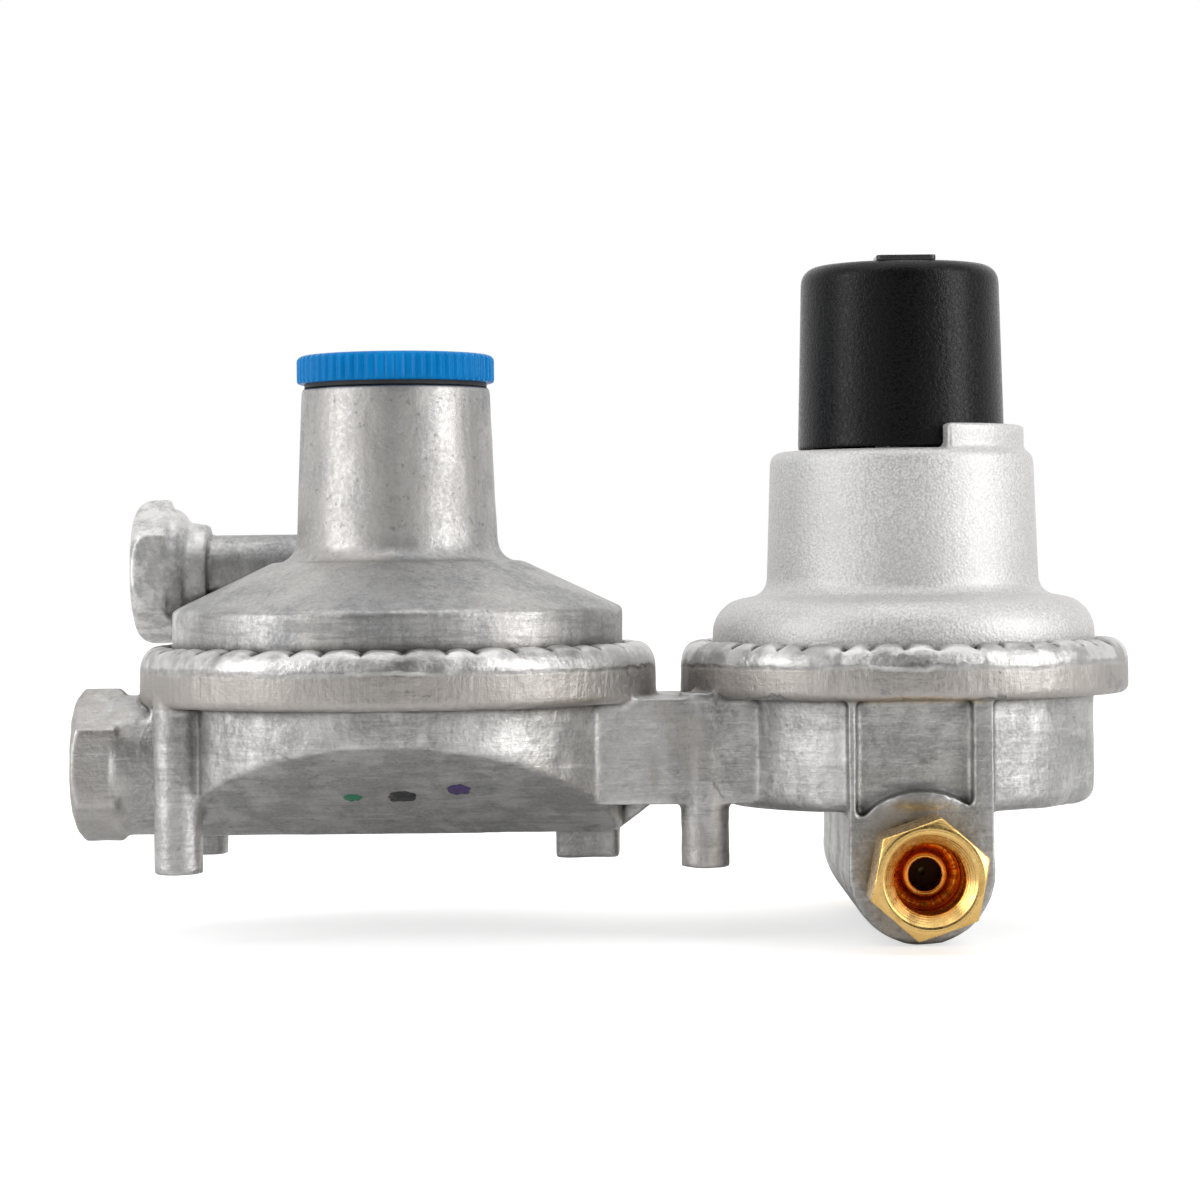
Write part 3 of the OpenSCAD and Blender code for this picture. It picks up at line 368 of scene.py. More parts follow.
@once
def die_cast():
    """Bare die-cast zinc: mottled skin, flow stains, filed ring walls and bright rolled lips."""
    looks = bpy.context.scene.regulator_casting
    f = Finish("die_cast")
    f.constant(Metallic=1.0, Anisotropic=0.0)
    clouds = f.noise(95, 5, 0.6, distortion=0.6)
    flow = f.noise(160, 4, 0.6, stretch=(1, 1, 0.35))
    level = f.noise(420, 4, 0.7, stretch=(0.22, 0.22, 2.4))
    grain = f.noise(1500, 4, 0.7)
    specks = f.noise(520, 2, 0.5)
    mottle = f.math("ADD", f.math("MULTIPLY", clouds, 0.6), f.math("MULTIPLY", flow, 0.4))
    colour = f.blend(f.ramp(mottle, 0.44, 0.60), tuple(looks.stain_colour), tuple(looks.cast_colour))
    blotch = f.noise(75, 6, 0.68, distortion=0.8)
    colour = f.blend(f.ramp(blotch, 0.535, 0.565, 0.0, 0.35), colour, (0.66, 0.65, 0.64))
    colour = f.blend(f.ramp(grain, 0.40, 0.66, 0.0, 0.28), colour, (0.68, 0.675, 0.67))
    colour = f.blend(f.ramp(specks, 0.62, 0.72, 0.0, 0.4), colour, (0.20, 0.195, 0.185))
    colour = f.blend(f.ramp(level, 0.50, 0.68, 0.0, 0.4), colour, (0.25, 0.25, 0.255))
    colour = f.blend(f.ramp(level, 0.45, 0.30, 0.0, 0.4), colour, (0.72, 0.72, 0.72))

    # Ring walls: upright file strokes, and bright lips above them
    on_first = f.ring_wall(FIRST_AXIS, RING_FIRST_R)
    on_second = f.ring_wall(SECOND_AXIS, RING_SECOND_R)
    wobble = f.math("MULTIPLY", f.math("SUBTRACT", f.noise(130, 3), 0.5), 2.2 * MM)
    height = f.math("ADD", f.axis("Z"), wobble)
    wall_band = f.band(height, WALL_LOW, WALL_LOW + 0.7 * MM, WALL_HIGH, WALL_HIGH - 0.8 * MM)
    patches = f.noise(48, 6, 0.6)
    torn_wall = f.math("MULTIPLY", on_first, f.ramp(patches, 0.46, 0.48))
    filed = f.math("MULTIPLY", f.math("MAXIMUM", on_second, torn_wall), wall_band)
    torn = f.ramp(f.math("ABSOLUTE", f.math("SUBTRACT", patches, 0.46)), 0.022, 0.004)
    strokes = f.noise(300, 4, 0.75, stretch=(3.5, 3.5, 0.4))
    trim = f.blend(f.ramp(strokes, 0.3, 0.7), (0.40, 0.375, 0.35), tuple(looks.trim_colour))
    colour = f.blend(filed, colour, trim)
    colour = f.tint(colour, f.math("MULTIPLY", on_first, torn), 0.5, (0.14, 0.133, 0.125))
    lip = f.ramp(height, LIP_FOOT, LIP_FOOT + 1.0 * MM)
    tabs = f.ramp(f.math("ADD", f.noise(200, 3), f.math("MULTIPLY", f.painted("tone"), 0.25)), 0.45, 0.72)
    colour = f.tint(colour, lip, 0.85, f.blend(tabs, (0.38, 0.373, 0.365), (0.72, 0.71, 0.70)))

    # Filed bands on the outlet's hexagon and on the bridge
    outlet_side = f.ramp(f.axis("X"), -79 * MM, -81 * MM)
    post_side = f.band(f.axis("X"), 6 * MM, 9 * MM, 19 * MM, 16 * MM)
    below_rings = f.ramp(f.axis("Z"), 40.5 * MM, 39.6 * MM)
    bridge = f.band(f.axis("X"), -2 * MM, 1 * MM, 13 * MM, 10 * MM)
    colour = f.tint(colour, bridge, 0.45, (0.74, 0.73, 0.715))
    other_filed = f.math("MULTIPLY", f.math("MAXIMUM", outlet_side, f.math("MULTIPLY", post_side, below_rings)),
                         f.ramp(f.noise(70, 3), 0.44, 0.54))
    scratch = f.noise(500, 3, 0.7, stretch=(3.0, 3.0, 0.3))
    colour = f.tint(colour, other_filed, f.ramp(scratch, 0.3, 0.7, 0.35, 0.95), tuple(looks.trim_colour))

    # Edges: handling wear with a painted highlight. Hollows, inner corners and crimp notches: painted shade
    colour = f.tint(colour, f.edges(0.52, 0.60), 0.5, (0.82, 0.82, 0.82))
    colour = f.tint(colour, f.edges(0.488, 0.44), 0.85, (0.085, 0.08, 0.073))
    colour = f.blend(f.corner_shade(clouds, 0.35, 0.85), colour, (0.07, 0.064, 0.056))
    colour = f.tint(colour, f.painted("notch_shade"), 0.9, (0.035, 0.033, 0.03))

    rough = f.math("ADD", f.ramp(clouds, 0.3, 0.7, 0.49, 0.37), f.ramp(grain, 0.3, 0.7, 0.08, -0.04))
    rough = f.math("SUBTRACT", rough, f.math("MULTIPLY", lip, 0.06), clamp=True)
    skin = f.bump(grain, 0.10 * MM, 0.8)
    skin = f.bump(specks, 0.22 * MM, 0.6, under=skin)
    skin = f.bump(f.noise(170, 3, stretch=(1, 1, 0.6)), 0.55 * MM, 0.55, under=skin)
    skin = f.bump(level, 0.12 * MM, 0.6, under=skin)
    skin = f.bump(f.math("MULTIPLY", strokes, filed), 0.16 * MM, 0.6, under=skin)
    skin = f.bump(lip, 0.30 * MM, 0.7, under=skin)
    return f.done(colour, rough, skin)


@once
def bonnet_cast():
    """Second bonnet's die-cast skin: smoother, with upright drag marks on the tower."""
    looks = bpy.context.scene.regulator_casting
    f = Finish("bonnet_cast")
    f.constant(Metallic=1.0)
    clouds = f.noise(85, 5, 0.6, distortion=0.5)
    drag = f.noise(240, 4, 0.65, stretch=(1.6, 1.6, 0.28))
    grain = f.noise(1300, 4, 0.75)
    mottle = f.math("ADD", f.math("MULTIPLY", clouds, 0.55), f.math("MULTIPLY", drag, 0.45))
    colour = f.blend(f.ramp(mottle, 0.42, 0.60), (0.32, 0.32, 0.322), tuple(0.82 * c for c in looks.cast_colour))
    colour = f.blend(f.ramp(f.noise(38, 2), 0.5, 0.62, 0.0, 0.5), colour, (0.56, 0.53, 0.50))
    colour = f.blend(f.ramp(grain, 0.42, 0.68, 0.0, 0.3), colour, (0.74, 0.74, 0.74))
    colour = f.blend(f.ramp(f.noise(800, 3, 0.6), 0.60, 0.70, 0.0, 0.45), colour, (0.17, 0.17, 0.17))
    level = f.noise(380, 4, 0.7, stretch=(0.25, 0.25, 2.2))
    on_band = f.ramp(f.axis("Z"), 56.5 * MM, 55.0 * MM)
    colour = f.tint(colour, on_band, f.ramp(level, 0.46, 0.64, 0.0, 0.6), (0.27, 0.265, 0.26))
    # The vent is painted lighter in clouds: painted light, standing in for the light its faces catch
    vent_painted_light = f.ramp(f.axis("X"), SECOND_AXIS.x - 30 * MM, SECOND_AXIS.x - 38 * MM)
    cloudy_share = f.ramp(f.noise(260, 5, 0.7), 0.40, 0.58, 0.75, 0.25)
    colour = f.tint(colour, vent_painted_light, cloudy_share, (0.86, 0.85, 0.83))
    # Edges: handling wear with a painted highlight. Hollows and inner corners: painted shade
    colour = f.tint(colour, f.edges(0.52, 0.60), 0.55, (0.85, 0.85, 0.85))
    colour = f.tint(colour, f.edges(0.488, 0.44), 0.8, (0.10, 0.095, 0.09))
    colour = f.blend(f.corner_shade(clouds, 0.3, 0.8), colour, (0.08, 0.073, 0.065))
    rough = f.math("ADD", f.ramp(clouds, 0.3, 0.7, 0.50, 0.39), f.ramp(grain, 0.3, 0.7, 0.07, -0.03))
    skin = f.bump(grain, 0.08 * MM, 0.8)
    skin = f.bump(f.noise(150, 3, stretch=(1, 1, 0.5)), 0.5 * MM, 0.45, under=skin)
    return f.done(colour, rough, skin)


@once
def shot_blasted():
    """Fine, even, shot-blasted zinc."""
    looks = bpy.context.scene.regulator_casting
    f = Finish("shot_blasted")
    f.constant(Metallic=0.85)
    grain = f.noise(2600, 3, 0.7)
    colour = f.blend(f.ramp(grain, 0.38, 0.64), tuple(0.72 * c for c in looks.blast_colour),
                     tuple(looks.blast_colour))
    colour = f.blend(f.ramp(f.noise(60, 3), 0.4, 0.65, 0.0, 0.25), colour, (0.52, 0.515, 0.51))
    # Edges: wear with a painted highlight
    colour = f.tint(colour, f.edges(0.51, 0.56), 0.35, (0.82, 0.82, 0.82))
    skin = f.bump(f.cells(1900), 0.10 * MM, 0.5)
    skin = f.bump(grain, 0.09 * MM, 0.6, under=skin)
    return f.done(colour, f.ramp(grain, 0.3, 0.7, 0.50, 0.62), skin)


@once
def grained_black():
    """Black nylon with a fine leather-like grain that sparkles in the light."""
    f = Finish("grained_black")
    colour = f.blend(f.noise(60, 3), tuple(bpy.context.scene.regulator_plastic.knob_colour),
                     (0.0055, 0.0055, 0.006))
    f.constant(Specular_IOR_Level=0.19)
    grain = f.noise(1700, 2, 0.6, distortion=0.8)
    skin = f.bump(f.ramp(grain, 0.36, 0.66), 0.05 * MM, 0.55)
    return f.done(colour, f.ramp(grain, 0.35, 0.65, 0.20, 0.32), skin)


@once
def moulded(name, red, green, blue, gloss, specular=0.4):
    """Smooth moulded plastic with faint flow marks."""
    f = Finish(name)
    f.constant(Specular_IOR_Level=specular)
    flow = f.noise(140, 4, 0.55)
    base = (red, green, blue)
    colour = f.blend(f.ramp(flow, 0.3, 0.7, 0, 0.5), base, tuple(min(1, 1.3 * c) for c in base))
    return f.done(colour, f.ramp(flow, 0.3, 0.7, gloss, gloss + 0.1), f.bump(f.noise(700, 2), 0.03 * MM, 0.5))


@once
def turned_brass():
    """Bright turned brass, with painted shade and painted reflection making it redder and darker inside the
    ports.
    """
    f = Finish("turned_brass")
    f.constant(Metallic=1.0)
    base = tuple(bpy.context.scene.regulator_brass.brass_colour)
    # Painted shade and painted reflection: the brass inside the ports is redder and darker
    inside = f.ramp(f.radius("X", FIRST_AXIS.x, "Z", INLET_Z), 6.6 * MM, 5.5 * MM)
    # Tarnish: darker brass in clouds, which also roughens it
    cloudy_share = f.ramp(f.noise(230, 4, 0.6), 0.42, 0.66, 0.0, 0.55)
    colour = f.blend(cloudy_share, base, (0.62, 0.38, 0.12))
    colour = f.tint(colour, inside, 0.9, (0.85, 0.38, 0.06))
    # Edges: wear with a painted highlight
    colour = f.tint(colour, f.edges(0.52, 0.60), 0.5, (0.95, 0.78, 0.45))
    rough = f.math("ADD", f.ramp(f.noise(900, 3), 0.3, 0.7, 0.16, 0.30), f.math("MULTIPLY", cloudy_share, 0.12))
    rings = f.tree.nodes.new("ShaderNodeTexWave")
    rings.wave_type = "RINGS"
    rings.rings_direction = "Y"
    f.feed(rings.inputs["Vector"], f.centred())
    rings.inputs["Scale"].default_value = 900
    rings.inputs["Distortion"].default_value = 0.6
    skin = f.bump(rings.outputs["Fac"], 0.012 * MM, 0.5)
    skin = f.bump(f.noise(1100, 3), 0.04 * MM, 0.5, under=skin)
    return f.done(colour, rough, skin)


@once
def metal(name, red, green, blue, rough):
    """Plated or drawn metal of the inner parts, lightly streaked."""
    f = Finish(name)
    f.constant(Metallic=1.0)
    streak = f.noise(500, 4, 0.65, stretch=(1, 1, 0.4))
    base = (red, green, blue)
    colour = f.blend(f.ramp(streak, 0.35, 0.65), tuple(0.7 * c for c in base), base)
    return f.done(colour, f.ramp(streak, 0.3, 0.7, rough, rough + 0.14), f.bump(f.noise(1400, 3), 0.04 * MM, 0.5))


@once
def rubber():
    """Matt black rubber with a talc bloom."""
    f = Finish("rubber")
    bloom = f.ramp(f.noise(180, 4), 0.45, 0.7, 0, 0.5)
    colour = f.blend(bloom, (0.02, 0.02, 0.02), (0.06, 0.06, 0.058))
    return f.done(colour, f.ramp(bloom, 0, 0.5, 0.62, 0.8), f.bump(f.noise(900, 3), 0.06 * MM, 0.6))


@once
def woven(name, red, green, blue, metallic):
    """Fine weave: the vent's wire screen and the diaphragms' fabric."""
    f = Finish(name)
    f.constant(Metallic=metallic)
    waves = []
    for direction in ("Y", "Z"):
        wave = f.tree.nodes.new("ShaderNodeTexWave")
        wave.bands_direction = direction
        f.feed(wave.inputs["Vector"], f.place)
        wave.inputs["Scale"].default_value = 420
        waves.append(wave.outputs["Fac"])
    weave = f.math("MAXIMUM", *waves)
    base = (red, green, blue)
    colour = f.blend(f.ramp(weave, 0.5, 0.9), tuple(0.15 * c for c in base), base)
    return f.done(colour, f.ramp(weave, 0, 1, 0.7, 0.4), f.bump(weave, 0.15 * MM, 0.8))


@once
def window_plastic():
    """Smoked, glossy window."""
    f = Finish("window_plastic")
    f.constant(Alpha=0.86)
    haze = f.noise(300, 3)
    colour = f.blend(haze, (0.012, 0.012, 0.013), (0.03, 0.03, 0.032))
    return f.done(colour, f.ramp(haze, 0.3, 0.7, 0.12, 0.22), f.bump(f.noise(500, 2), 0.02 * MM, 0.4))


@once
def ink(name, red, green, blue):
    """Marking ink dabbed on by hand."""
    f = Finish(name)
    thin = f.noise(900, 4)
    base = (red, green, blue)
    colour = f.blend(f.ramp(thin, 0.5, 0.75, 0, 0.6), base, tuple(0.5 * c + 0.12 for c in base))
    return f.done(colour, f.ramp(thin, 0.3, 0.7, 0.4, 0.6), f.bump(thin, 0.05 * MM, 0.6))


# ---------------------------------------------------------------- mesh helpers


def new_piece(name, mesh, material, body, slot_name, *nodes):
    """Puts a mesh in the scene as a piece that rides on a body and may stand for CAD nodes."""
    mesh.name = name
    mesh.materials.clear()
    mesh.materials.append(material)
    piece = bpy.data.objects.new(name, mesh)
    bpy.context.scene.collection.objects.link(piece)
    for polygon in mesh.polygons:
        polygon.use_smooth = True
        polygon.material_index = 0
    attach(piece, body)
    if nodes:
        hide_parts(*nodes)
    return piece


def node_copy(node):
    """A welded copy of a CAD node's mesh."""
    mesh = frame["nodes"][node].data.copy()
    edit = bmesh.new()
    edit.from_mesh(mesh)
    bmesh.ops.remove_doubles(edit, verts=edit.verts, dist=1e-6)
    edit.to_mesh(mesh)
    edit.free()
    return mesh


def shaped(mesh, *modifiers):
    """The mesh after some modifiers, each given as its kind and its settings."""
    holder = bpy.data.objects.new("holder", mesh)
    bpy.context.scene.collection.objects.link(holder)
    for kind, values in modifiers:
        modifier = holder.modifiers.new(kind, kind)
        for key, value in values.items():
            setattr(modifier, key, value)
    evaluated = holder.evaluated_get(bpy.context.evaluated_depsgraph_get())
    result = bpy.data.meshes.new_from_object(evaluated)
    bpy.data.objects.remove(holder)
    return result


def rounded_skin(mesh, voxel, passes):
    """Rounds a solid's edges: an even grid of quads over it, relaxed a few times and kept in the solid's box."""
    low = [min(v.co[i] for v in mesh.vertices) for i in range(3)]
    high = [max(v.co[i] for v in mesh.vertices) for i in range(3)]
    skin = shaped(mesh, ("REMESH", {"mode": "VOXEL", "voxel_size": voxel}),
                  ("SMOOTH", {"factor": 0.5, "iterations": passes}))
    for vertex in skin.vertices:
        vertex.co = [min(high[i] - BOX_MARGIN, max(low[i] + BOX_MARGIN, vertex.co[i])) for i in range(3)]
    return skin


def thinned(mesh, keep):
    """Drops the triangles that flat places don't need."""
    return shaped(mesh, ("DECIMATE", {"ratio": keep}))


def closed_mesh(edit, name):
    """Turns a finished edit into a mesh whose faces all look outward."""
    bmesh.ops.recalc_face_normals(edit, faces=edit.faces)
    mesh = bpy.data.meshes.new(name)
    edit.to_mesh(mesh)
    edit.free()
    return mesh


def step(value, low, high):
    """Smooth step from 0 to 1."""
    t = min(1, max(0, (value - low) / (high - low)))
    return t * t * (3 - 2 * t)


def press_crimps(mesh, axis, ring_r, seed, share):
    """Presses the notches between the crimps into a rolled lip, at a share of their full depth."""
    looks = bpy.context.scene.regulator_casting
    low = LIP_TOP - LIP_DEPTH
    # Attributes: painted shade for the notches, and a random tone for each crimp
    notch_shade = mesh.attributes.get("notch_shade") or mesh.attributes.new("notch_shade", "FLOAT", "POINT")
    tone = mesh.attributes.get("tone") or mesh.attributes.new("tone", "FLOAT", "POINT")
    for vertex in mesh.vertices:
        x, y, z = vertex.co.x - axis.x, vertex.co.y, vertex.co.z
        r = math.hypot(x, y)
        if z < low or r > ring_r or r < ring_r - LIP_WIDTH:
            continue
        turn = math.atan2(y, x) / FULL_TURN * looks.crimps
        turn += 0.10 * math.sin(turn * 1.7 + seed) + 0.06 * math.sin(turn * 3.1 + seed)
        lobe = math.floor(turn)
        inside_lobe = turn - lobe
        uneven = noise.noise(Vector((lobe * 1.37, seed, 0.5)))
        notch = 1 - math.sin(math.pi * inside_lobe) ** 0.36
        inner = step(r, ring_r - 0.2 * MM, ring_r - 2.6 * MM)
        rise = step(z, low, LIP_TOP)
        sink = notch * (1 + 0.45 * uneven) + 0.14 * (0.3 + uneven)
        vertex.co.z -= looks.crimp_depth * share * inner * rise * max(0, sink)
        push = 0.7 * MM * share * notch * inner * rise
        # Painted shade in the notches between the crimps, kept on the mesh for the material
        notch_shade.data[vertex.index].value = step(notch, 0.22, 0.6) * step(r, ring_r - 0.9 * MM, ring_r - 2.6 * MM)
        tone.data[vertex.index].value = 0.5 + uneven
        vertex.co.x += push * x / r
        vertex.co.y += push * y / r


def roughen(mesh, amount, per_metre, seed):
    """Moves each point a little along its normal, as a die's worn face leaves it."""
    offset = Vector((seed * 13.1, seed * 7.7, seed * 3.3))
    moved = []
    for vertex in mesh.vertices:
        sink = min(0.0, noise.fractal(vertex.co * per_metre + offset, 1.0, 2.0, 3) - 0.15)
        moved.extend(vertex.co + vertex.normal * (amount * sink))
    mesh.vertices.foreach_set("co", moved)
    mesh.update()


# ---------------------------------------------------------------- pieces


class REGULATOR_OT_body(bpy.types.Operator):
    """Makes the body casting's skin, with crimped lips"""

    bl_idname = "regulator.body"
    bl_label = "Body casting"

    def execute(self, context):
        looks = context.scene.regulator_casting
        voxel = looks.voxel * 1
        mesh = rounded_skin(node_copy("body_casting"), voxel, looks.rounding)
        press_crimps(mesh, FIRST_AXIS, RING_FIRST_R, 1.0, 1.0)
        press_crimps(mesh, SECOND_AXIS, RING_SECOND_R, 2.0, 0.7)
        roughen(mesh, 0.16 * MM, 140, 1)
        mesh = thinned(mesh, 0.55)
        new_piece("body_skin", mesh, die_cast(), BODY, "cast_metal", "body_casting")
        return {"FINISHED"}


class REGULATOR_OT_second_bonnet(bpy.types.Operator):
    """Makes the second bonnet with its cone, tower and vent"""

    bl_idname = "regulator.second_bonnet"
    bl_label = "Second bonnet"

    def execute(self, context):
        looks = context.scene.regulator_casting
        voxel = looks.voxel * 0.9
        mesh = rounded_skin(node_copy("second_bonnet"), voxel, looks.rounding)
        roughen(mesh, 0.12 * MM, 110, 2)
        mesh = thinned(mesh, 0.6)
        new_piece("second_bonnet_skin", mesh, bonnet_cast(), BODY, "cast_metal", "second_bonnet")
        return {"FINISHED"}


class REGULATOR_OT_first_bonnet(bpy.types.Operator):
    """Makes the shot-blasted first bonnet with its stop wall"""

    bl_idname = "regulator.first_bonnet"
    bl_label = "First bonnet"

    def execute(self, context):
        looks = context.scene.regulator_casting
        voxel = looks.voxel * 0.9
        mesh = thinned(rounded_skin(node_copy("first_bonnet"), voxel, 4), 0.6)
        new_piece("first_bonnet_skin", mesh, shot_blasted(), BODY, "blasted_metal", "first_bonnet")
        return {"FINISHED"}


class REGULATOR_OT_knob(bpy.types.Operator):
    """Makes the grained knob and its smoked window"""

    bl_idname = "regulator.knob"
    bl_label = "Knob and window"

    def execute(self, context):
        voxel = context.scene.regulator_casting.fine_voxel * 1.2
        knob = thinned(rounded_skin(node_copy("knob"), voxel, 4), 0.5)
        new_piece("knob_shell", knob, grained_black(), KNOB_BODY, "black_plastic", "knob")
        window = rounded_skin(node_copy("indicator_window"), 0.16 * MM, 4)
        new_piece("window_lens", window, window_plastic(), KNOB_BODY, "smoked_window", "indicator_window")
        return {"FINISHED"}


class REGULATOR_OT_cap(bpy.types.Operator):
    """Makes the blue closing cap with rounded grip ribs"""

    bl_idname = "regulator.cap"
    bl_label = "Closing cap"

    def execute(self, context):
        looks = context.scene.regulator_plastic
        low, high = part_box("closing_cap")
        gasket_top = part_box("cap_gasket")[1].z
        outer = (high.x - low.x) / 2
        skirt_r = outer - 2.9 * MM
        bore_r = skirt_r - 2 * MM
        dish = high.z - 1.6 * MM
        under = gasket_top + 1.4 * MM
        steps = looks.cap_ribs * 10
        # Rows of the turned section: radius, height and how much of the ribs the row carries
        rows = [(0, dish, 0), (1.15 * MM, dish, 0), (outer - 4.2 * MM, high.z - 0.15 * MM, 0),
                (outer - 1.5 * MM, high.z, 0), (outer - 0.9 * MM, high.z - 0.05 * MM, 0.1),
                (outer - 0.35 * MM, high.z - 0.30 * MM, 0.45), (outer - 0.08 * MM, high.z - 0.62 * MM, 0.85),
                (outer, high.z - 1.0 * MM, 1), (outer, gasket_top + 0.9 * MM, 1),
                (outer - 0.02 * MM, gasket_top + 0.45 * MM, 1), (outer - 0.14 * MM, gasket_top + 0.15 * MM, 0.8),
                (outer - 0.5 * MM, gasket_top + 0.02 * MM, 0.2), (skirt_r, gasket_top, 0), (skirt_r, low.z, 0),
                (bore_r, low.z, 0), (bore_r, under, 0), (0, under, 0)]
        edit = bmesh.new()
        rings = []
        for radius, height, ribbed in rows:
            if radius == 0:
                rings.append([edit.verts.new((SECOND_AXIS.x, SECOND_AXIS.y, height))] * steps)
                continue
            ring = []
            for i in range(steps):
                wave = 0.5 + 0.5 * math.cos(FULL_TURN * i * looks.cap_ribs / steps)
                r = radius - ribbed * looks.rib_height * (1 - wave ** 0.6)
                angle = FULL_TURN * i / steps
                ring.append(edit.verts.new((SECOND_AXIS.x + r * math.cos(angle),
                                            SECOND_AXIS.y + r * math.sin(angle), height)))
            rings.append(ring)
        for upper, lower in zip(rings, rings[1:]):
            for i in range(steps):
                j = (i + 1) % steps
                corners = [upper[i], lower[i], lower[j], upper[j]]
                edit.faces.new(list(dict.fromkeys(corners)))
        mesh = closed_mesh(edit, "closing_cap_ribbed")
        blue = moulded("blue_gloss", *looks.cap_colour, 0.22, 0.10)
        new_piece("closing_cap_ribbed", mesh, blue, "cap", "blue_plastic", "closing_cap")
        return {"FINISHED"}


class REGULATOR_OT_fittings(bpy.types.Operator):
    """Makes both brass inlet fittings, with threads in their ports"""

    bl_idname = "regulator.fittings"
    bl_label = "Inlet fittings"

    def execute(self, context):
        looks = context.scene.regulator_brass
        voxel = context.scene.regulator_casting.fine_voxel * 0.85
        for side, sign in (("front", -1), ("back", 1)):
            node = side + "_inlet_fitting"
            mesh = rounded_skin(node_copy(node), voxel, 3)
            mouth = max(abs(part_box(node)[0].y), abs(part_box(node)[1].y))
            for vertex in mesh.vertices:
                x, z = vertex.co.x - FIRST_AXIS.x, vertex.co.z - INLET_Z
                r, depth = math.hypot(x, z), mouth - abs(vertex.co.y)
                if PORT_WALL[0] < r < PORT_WALL[1] and PORT_THREAD[0] < depth < PORT_THREAD[1]:
                    phase = depth / looks.thread_pitch + math.atan2(z, x) / FULL_TURN
                    cut = THREAD_DEPTH * (0.5 + 0.5 * math.cos(FULL_TURN * phase))
                    vertex.co.x += cut * x / r
                    vertex.co.z += cut * z / r
            mesh = thinned(mesh, 0.6)
            new_piece(side + "_fitting", mesh, turned_brass(), BODY, "inlet_brass", node)
        return {"FINISHED"}


class REGULATOR_OT_ink_marks(bpy.types.Operator):
    """Dabs three inspection marks on the sloping face"""

    bl_idname = "regulator.ink_marks"
    bl_label = "Inspection marks"

    def execute(self, context):
        # The sloping face: its angle and a point on its lower edge
        slope = math.radians(28.3)
        edge = Vector((0, -8.7 * MM, 17.2 * MM))
        sunk, proud, crowned = 0.1 * MM, 0.10 * MM, 0.16 * MM
        count = 40
        along = Vector((0, -math.cos(slope), math.sin(slope)))
        outward = Vector((0, -math.sin(slope), -math.cos(slope)))
        # Name, place across and up the face, half sizes, colour
        marks = [("green_mark", -41.3, 15.2, 1.5, 1.3, (0.01, 0.16, 0.07)),
                 ("black_mark", -33.0, 15.4, 2.3, 2.0, (0.016, 0.015, 0.015)),
                 ("purple_mark", -23.7, 18.0, 1.9, 1.9, (0.05, 0.022, 0.11))]
        for number, (name, across, up, half_w, half_h, colour) in enumerate(marks):
            edit = bmesh.new()
            centre = Vector((across * MM, 0, 0)) + edge + along * (up * MM) - outward * 0.02 * MM
            rim = []
            for i in range(count):
                angle = FULL_TURN * i / count
                ragged = 1 + 0.3 * noise.noise(Vector((2.2 * math.cos(angle), 2.2 * math.sin(angle), number * 5)))
                rim.append(centre + Vector((half_w * MM * ragged * math.cos(angle), 0, 0))
                           + along * (half_h * MM * ragged * math.sin(angle)))
            top = [edit.verts.new(p + outward * proud) for p in rim]
            bottom = [edit.verts.new(p - outward * sunk) for p in rim]
            crown = edit.verts.new(centre + outward * crowned)
            root = edit.verts.new(centre - outward * sunk)
            for i in range(count):
                j = (i + 1) % count
                edit.faces.new((top[i], top[j], crown))
                edit.faces.new((bottom[j], bottom[i], root))
                edit.faces.new((top[j], top[i], bottom[i], bottom[j]))
            new_piece(name, closed_mesh(edit, name), ink(name + "_ink", *colour), BODY, "cast_metal")
        return {"FINISHED"}


class REGULATOR_OT_inner_parts(bpy.types.Operator):
    """Gives every inner part its own finish"""

    bl_idname = "regulator.inner_parts"
    bl_label = "Inner parts"

    def execute(self, context):
        finishes = {
            "plated_steel": lambda: metal("zinc_plated", 0.62, 0.62, 0.60, 0.28),
            "spring_steel": lambda: metal("spring_wire", 0.34, 0.34, 0.35, 0.32),
            "brass": lambda: metal("plain_brass", 0.78, 0.55, 0.22, 0.24),
            # The sintered filter has its own dark bronze colour, made darker still as painted shade deep in the
            # port
            "sintered_bronze": lambda: metal("sintered", 0.10, 0.055, 0.03, 0.7),
            "white_plastic": lambda: moulded("white_acetal", 0.78, 0.78, 0.75, 0.30),
            "black_plastic": grained_black,
            "red_plastic": lambda: moulded("red_flag", 0.55, 0.02, 0.02, 0.25),
            "black_rubber": rubber,
            "diaphragm_rubber": lambda: woven("proofed_fabric", 0.07, 0.07, 0.07, 0.0),
            "wire_mesh": lambda: woven("wire_weave", 0.55, 0.55, 0.55, 1.0),
        }
        for entry in frame["record"]["subparts"]:
            finish = finishes.get(entry["material_slot"])
            if finish is None:
                continue
            cad = frame["nodes"][entry["node"]]
            if not cad.material_slots:
                cad.data.materials.append(None)
            for place in cad.material_slots:
                place.material = finish()
        return {"FINISHED"}


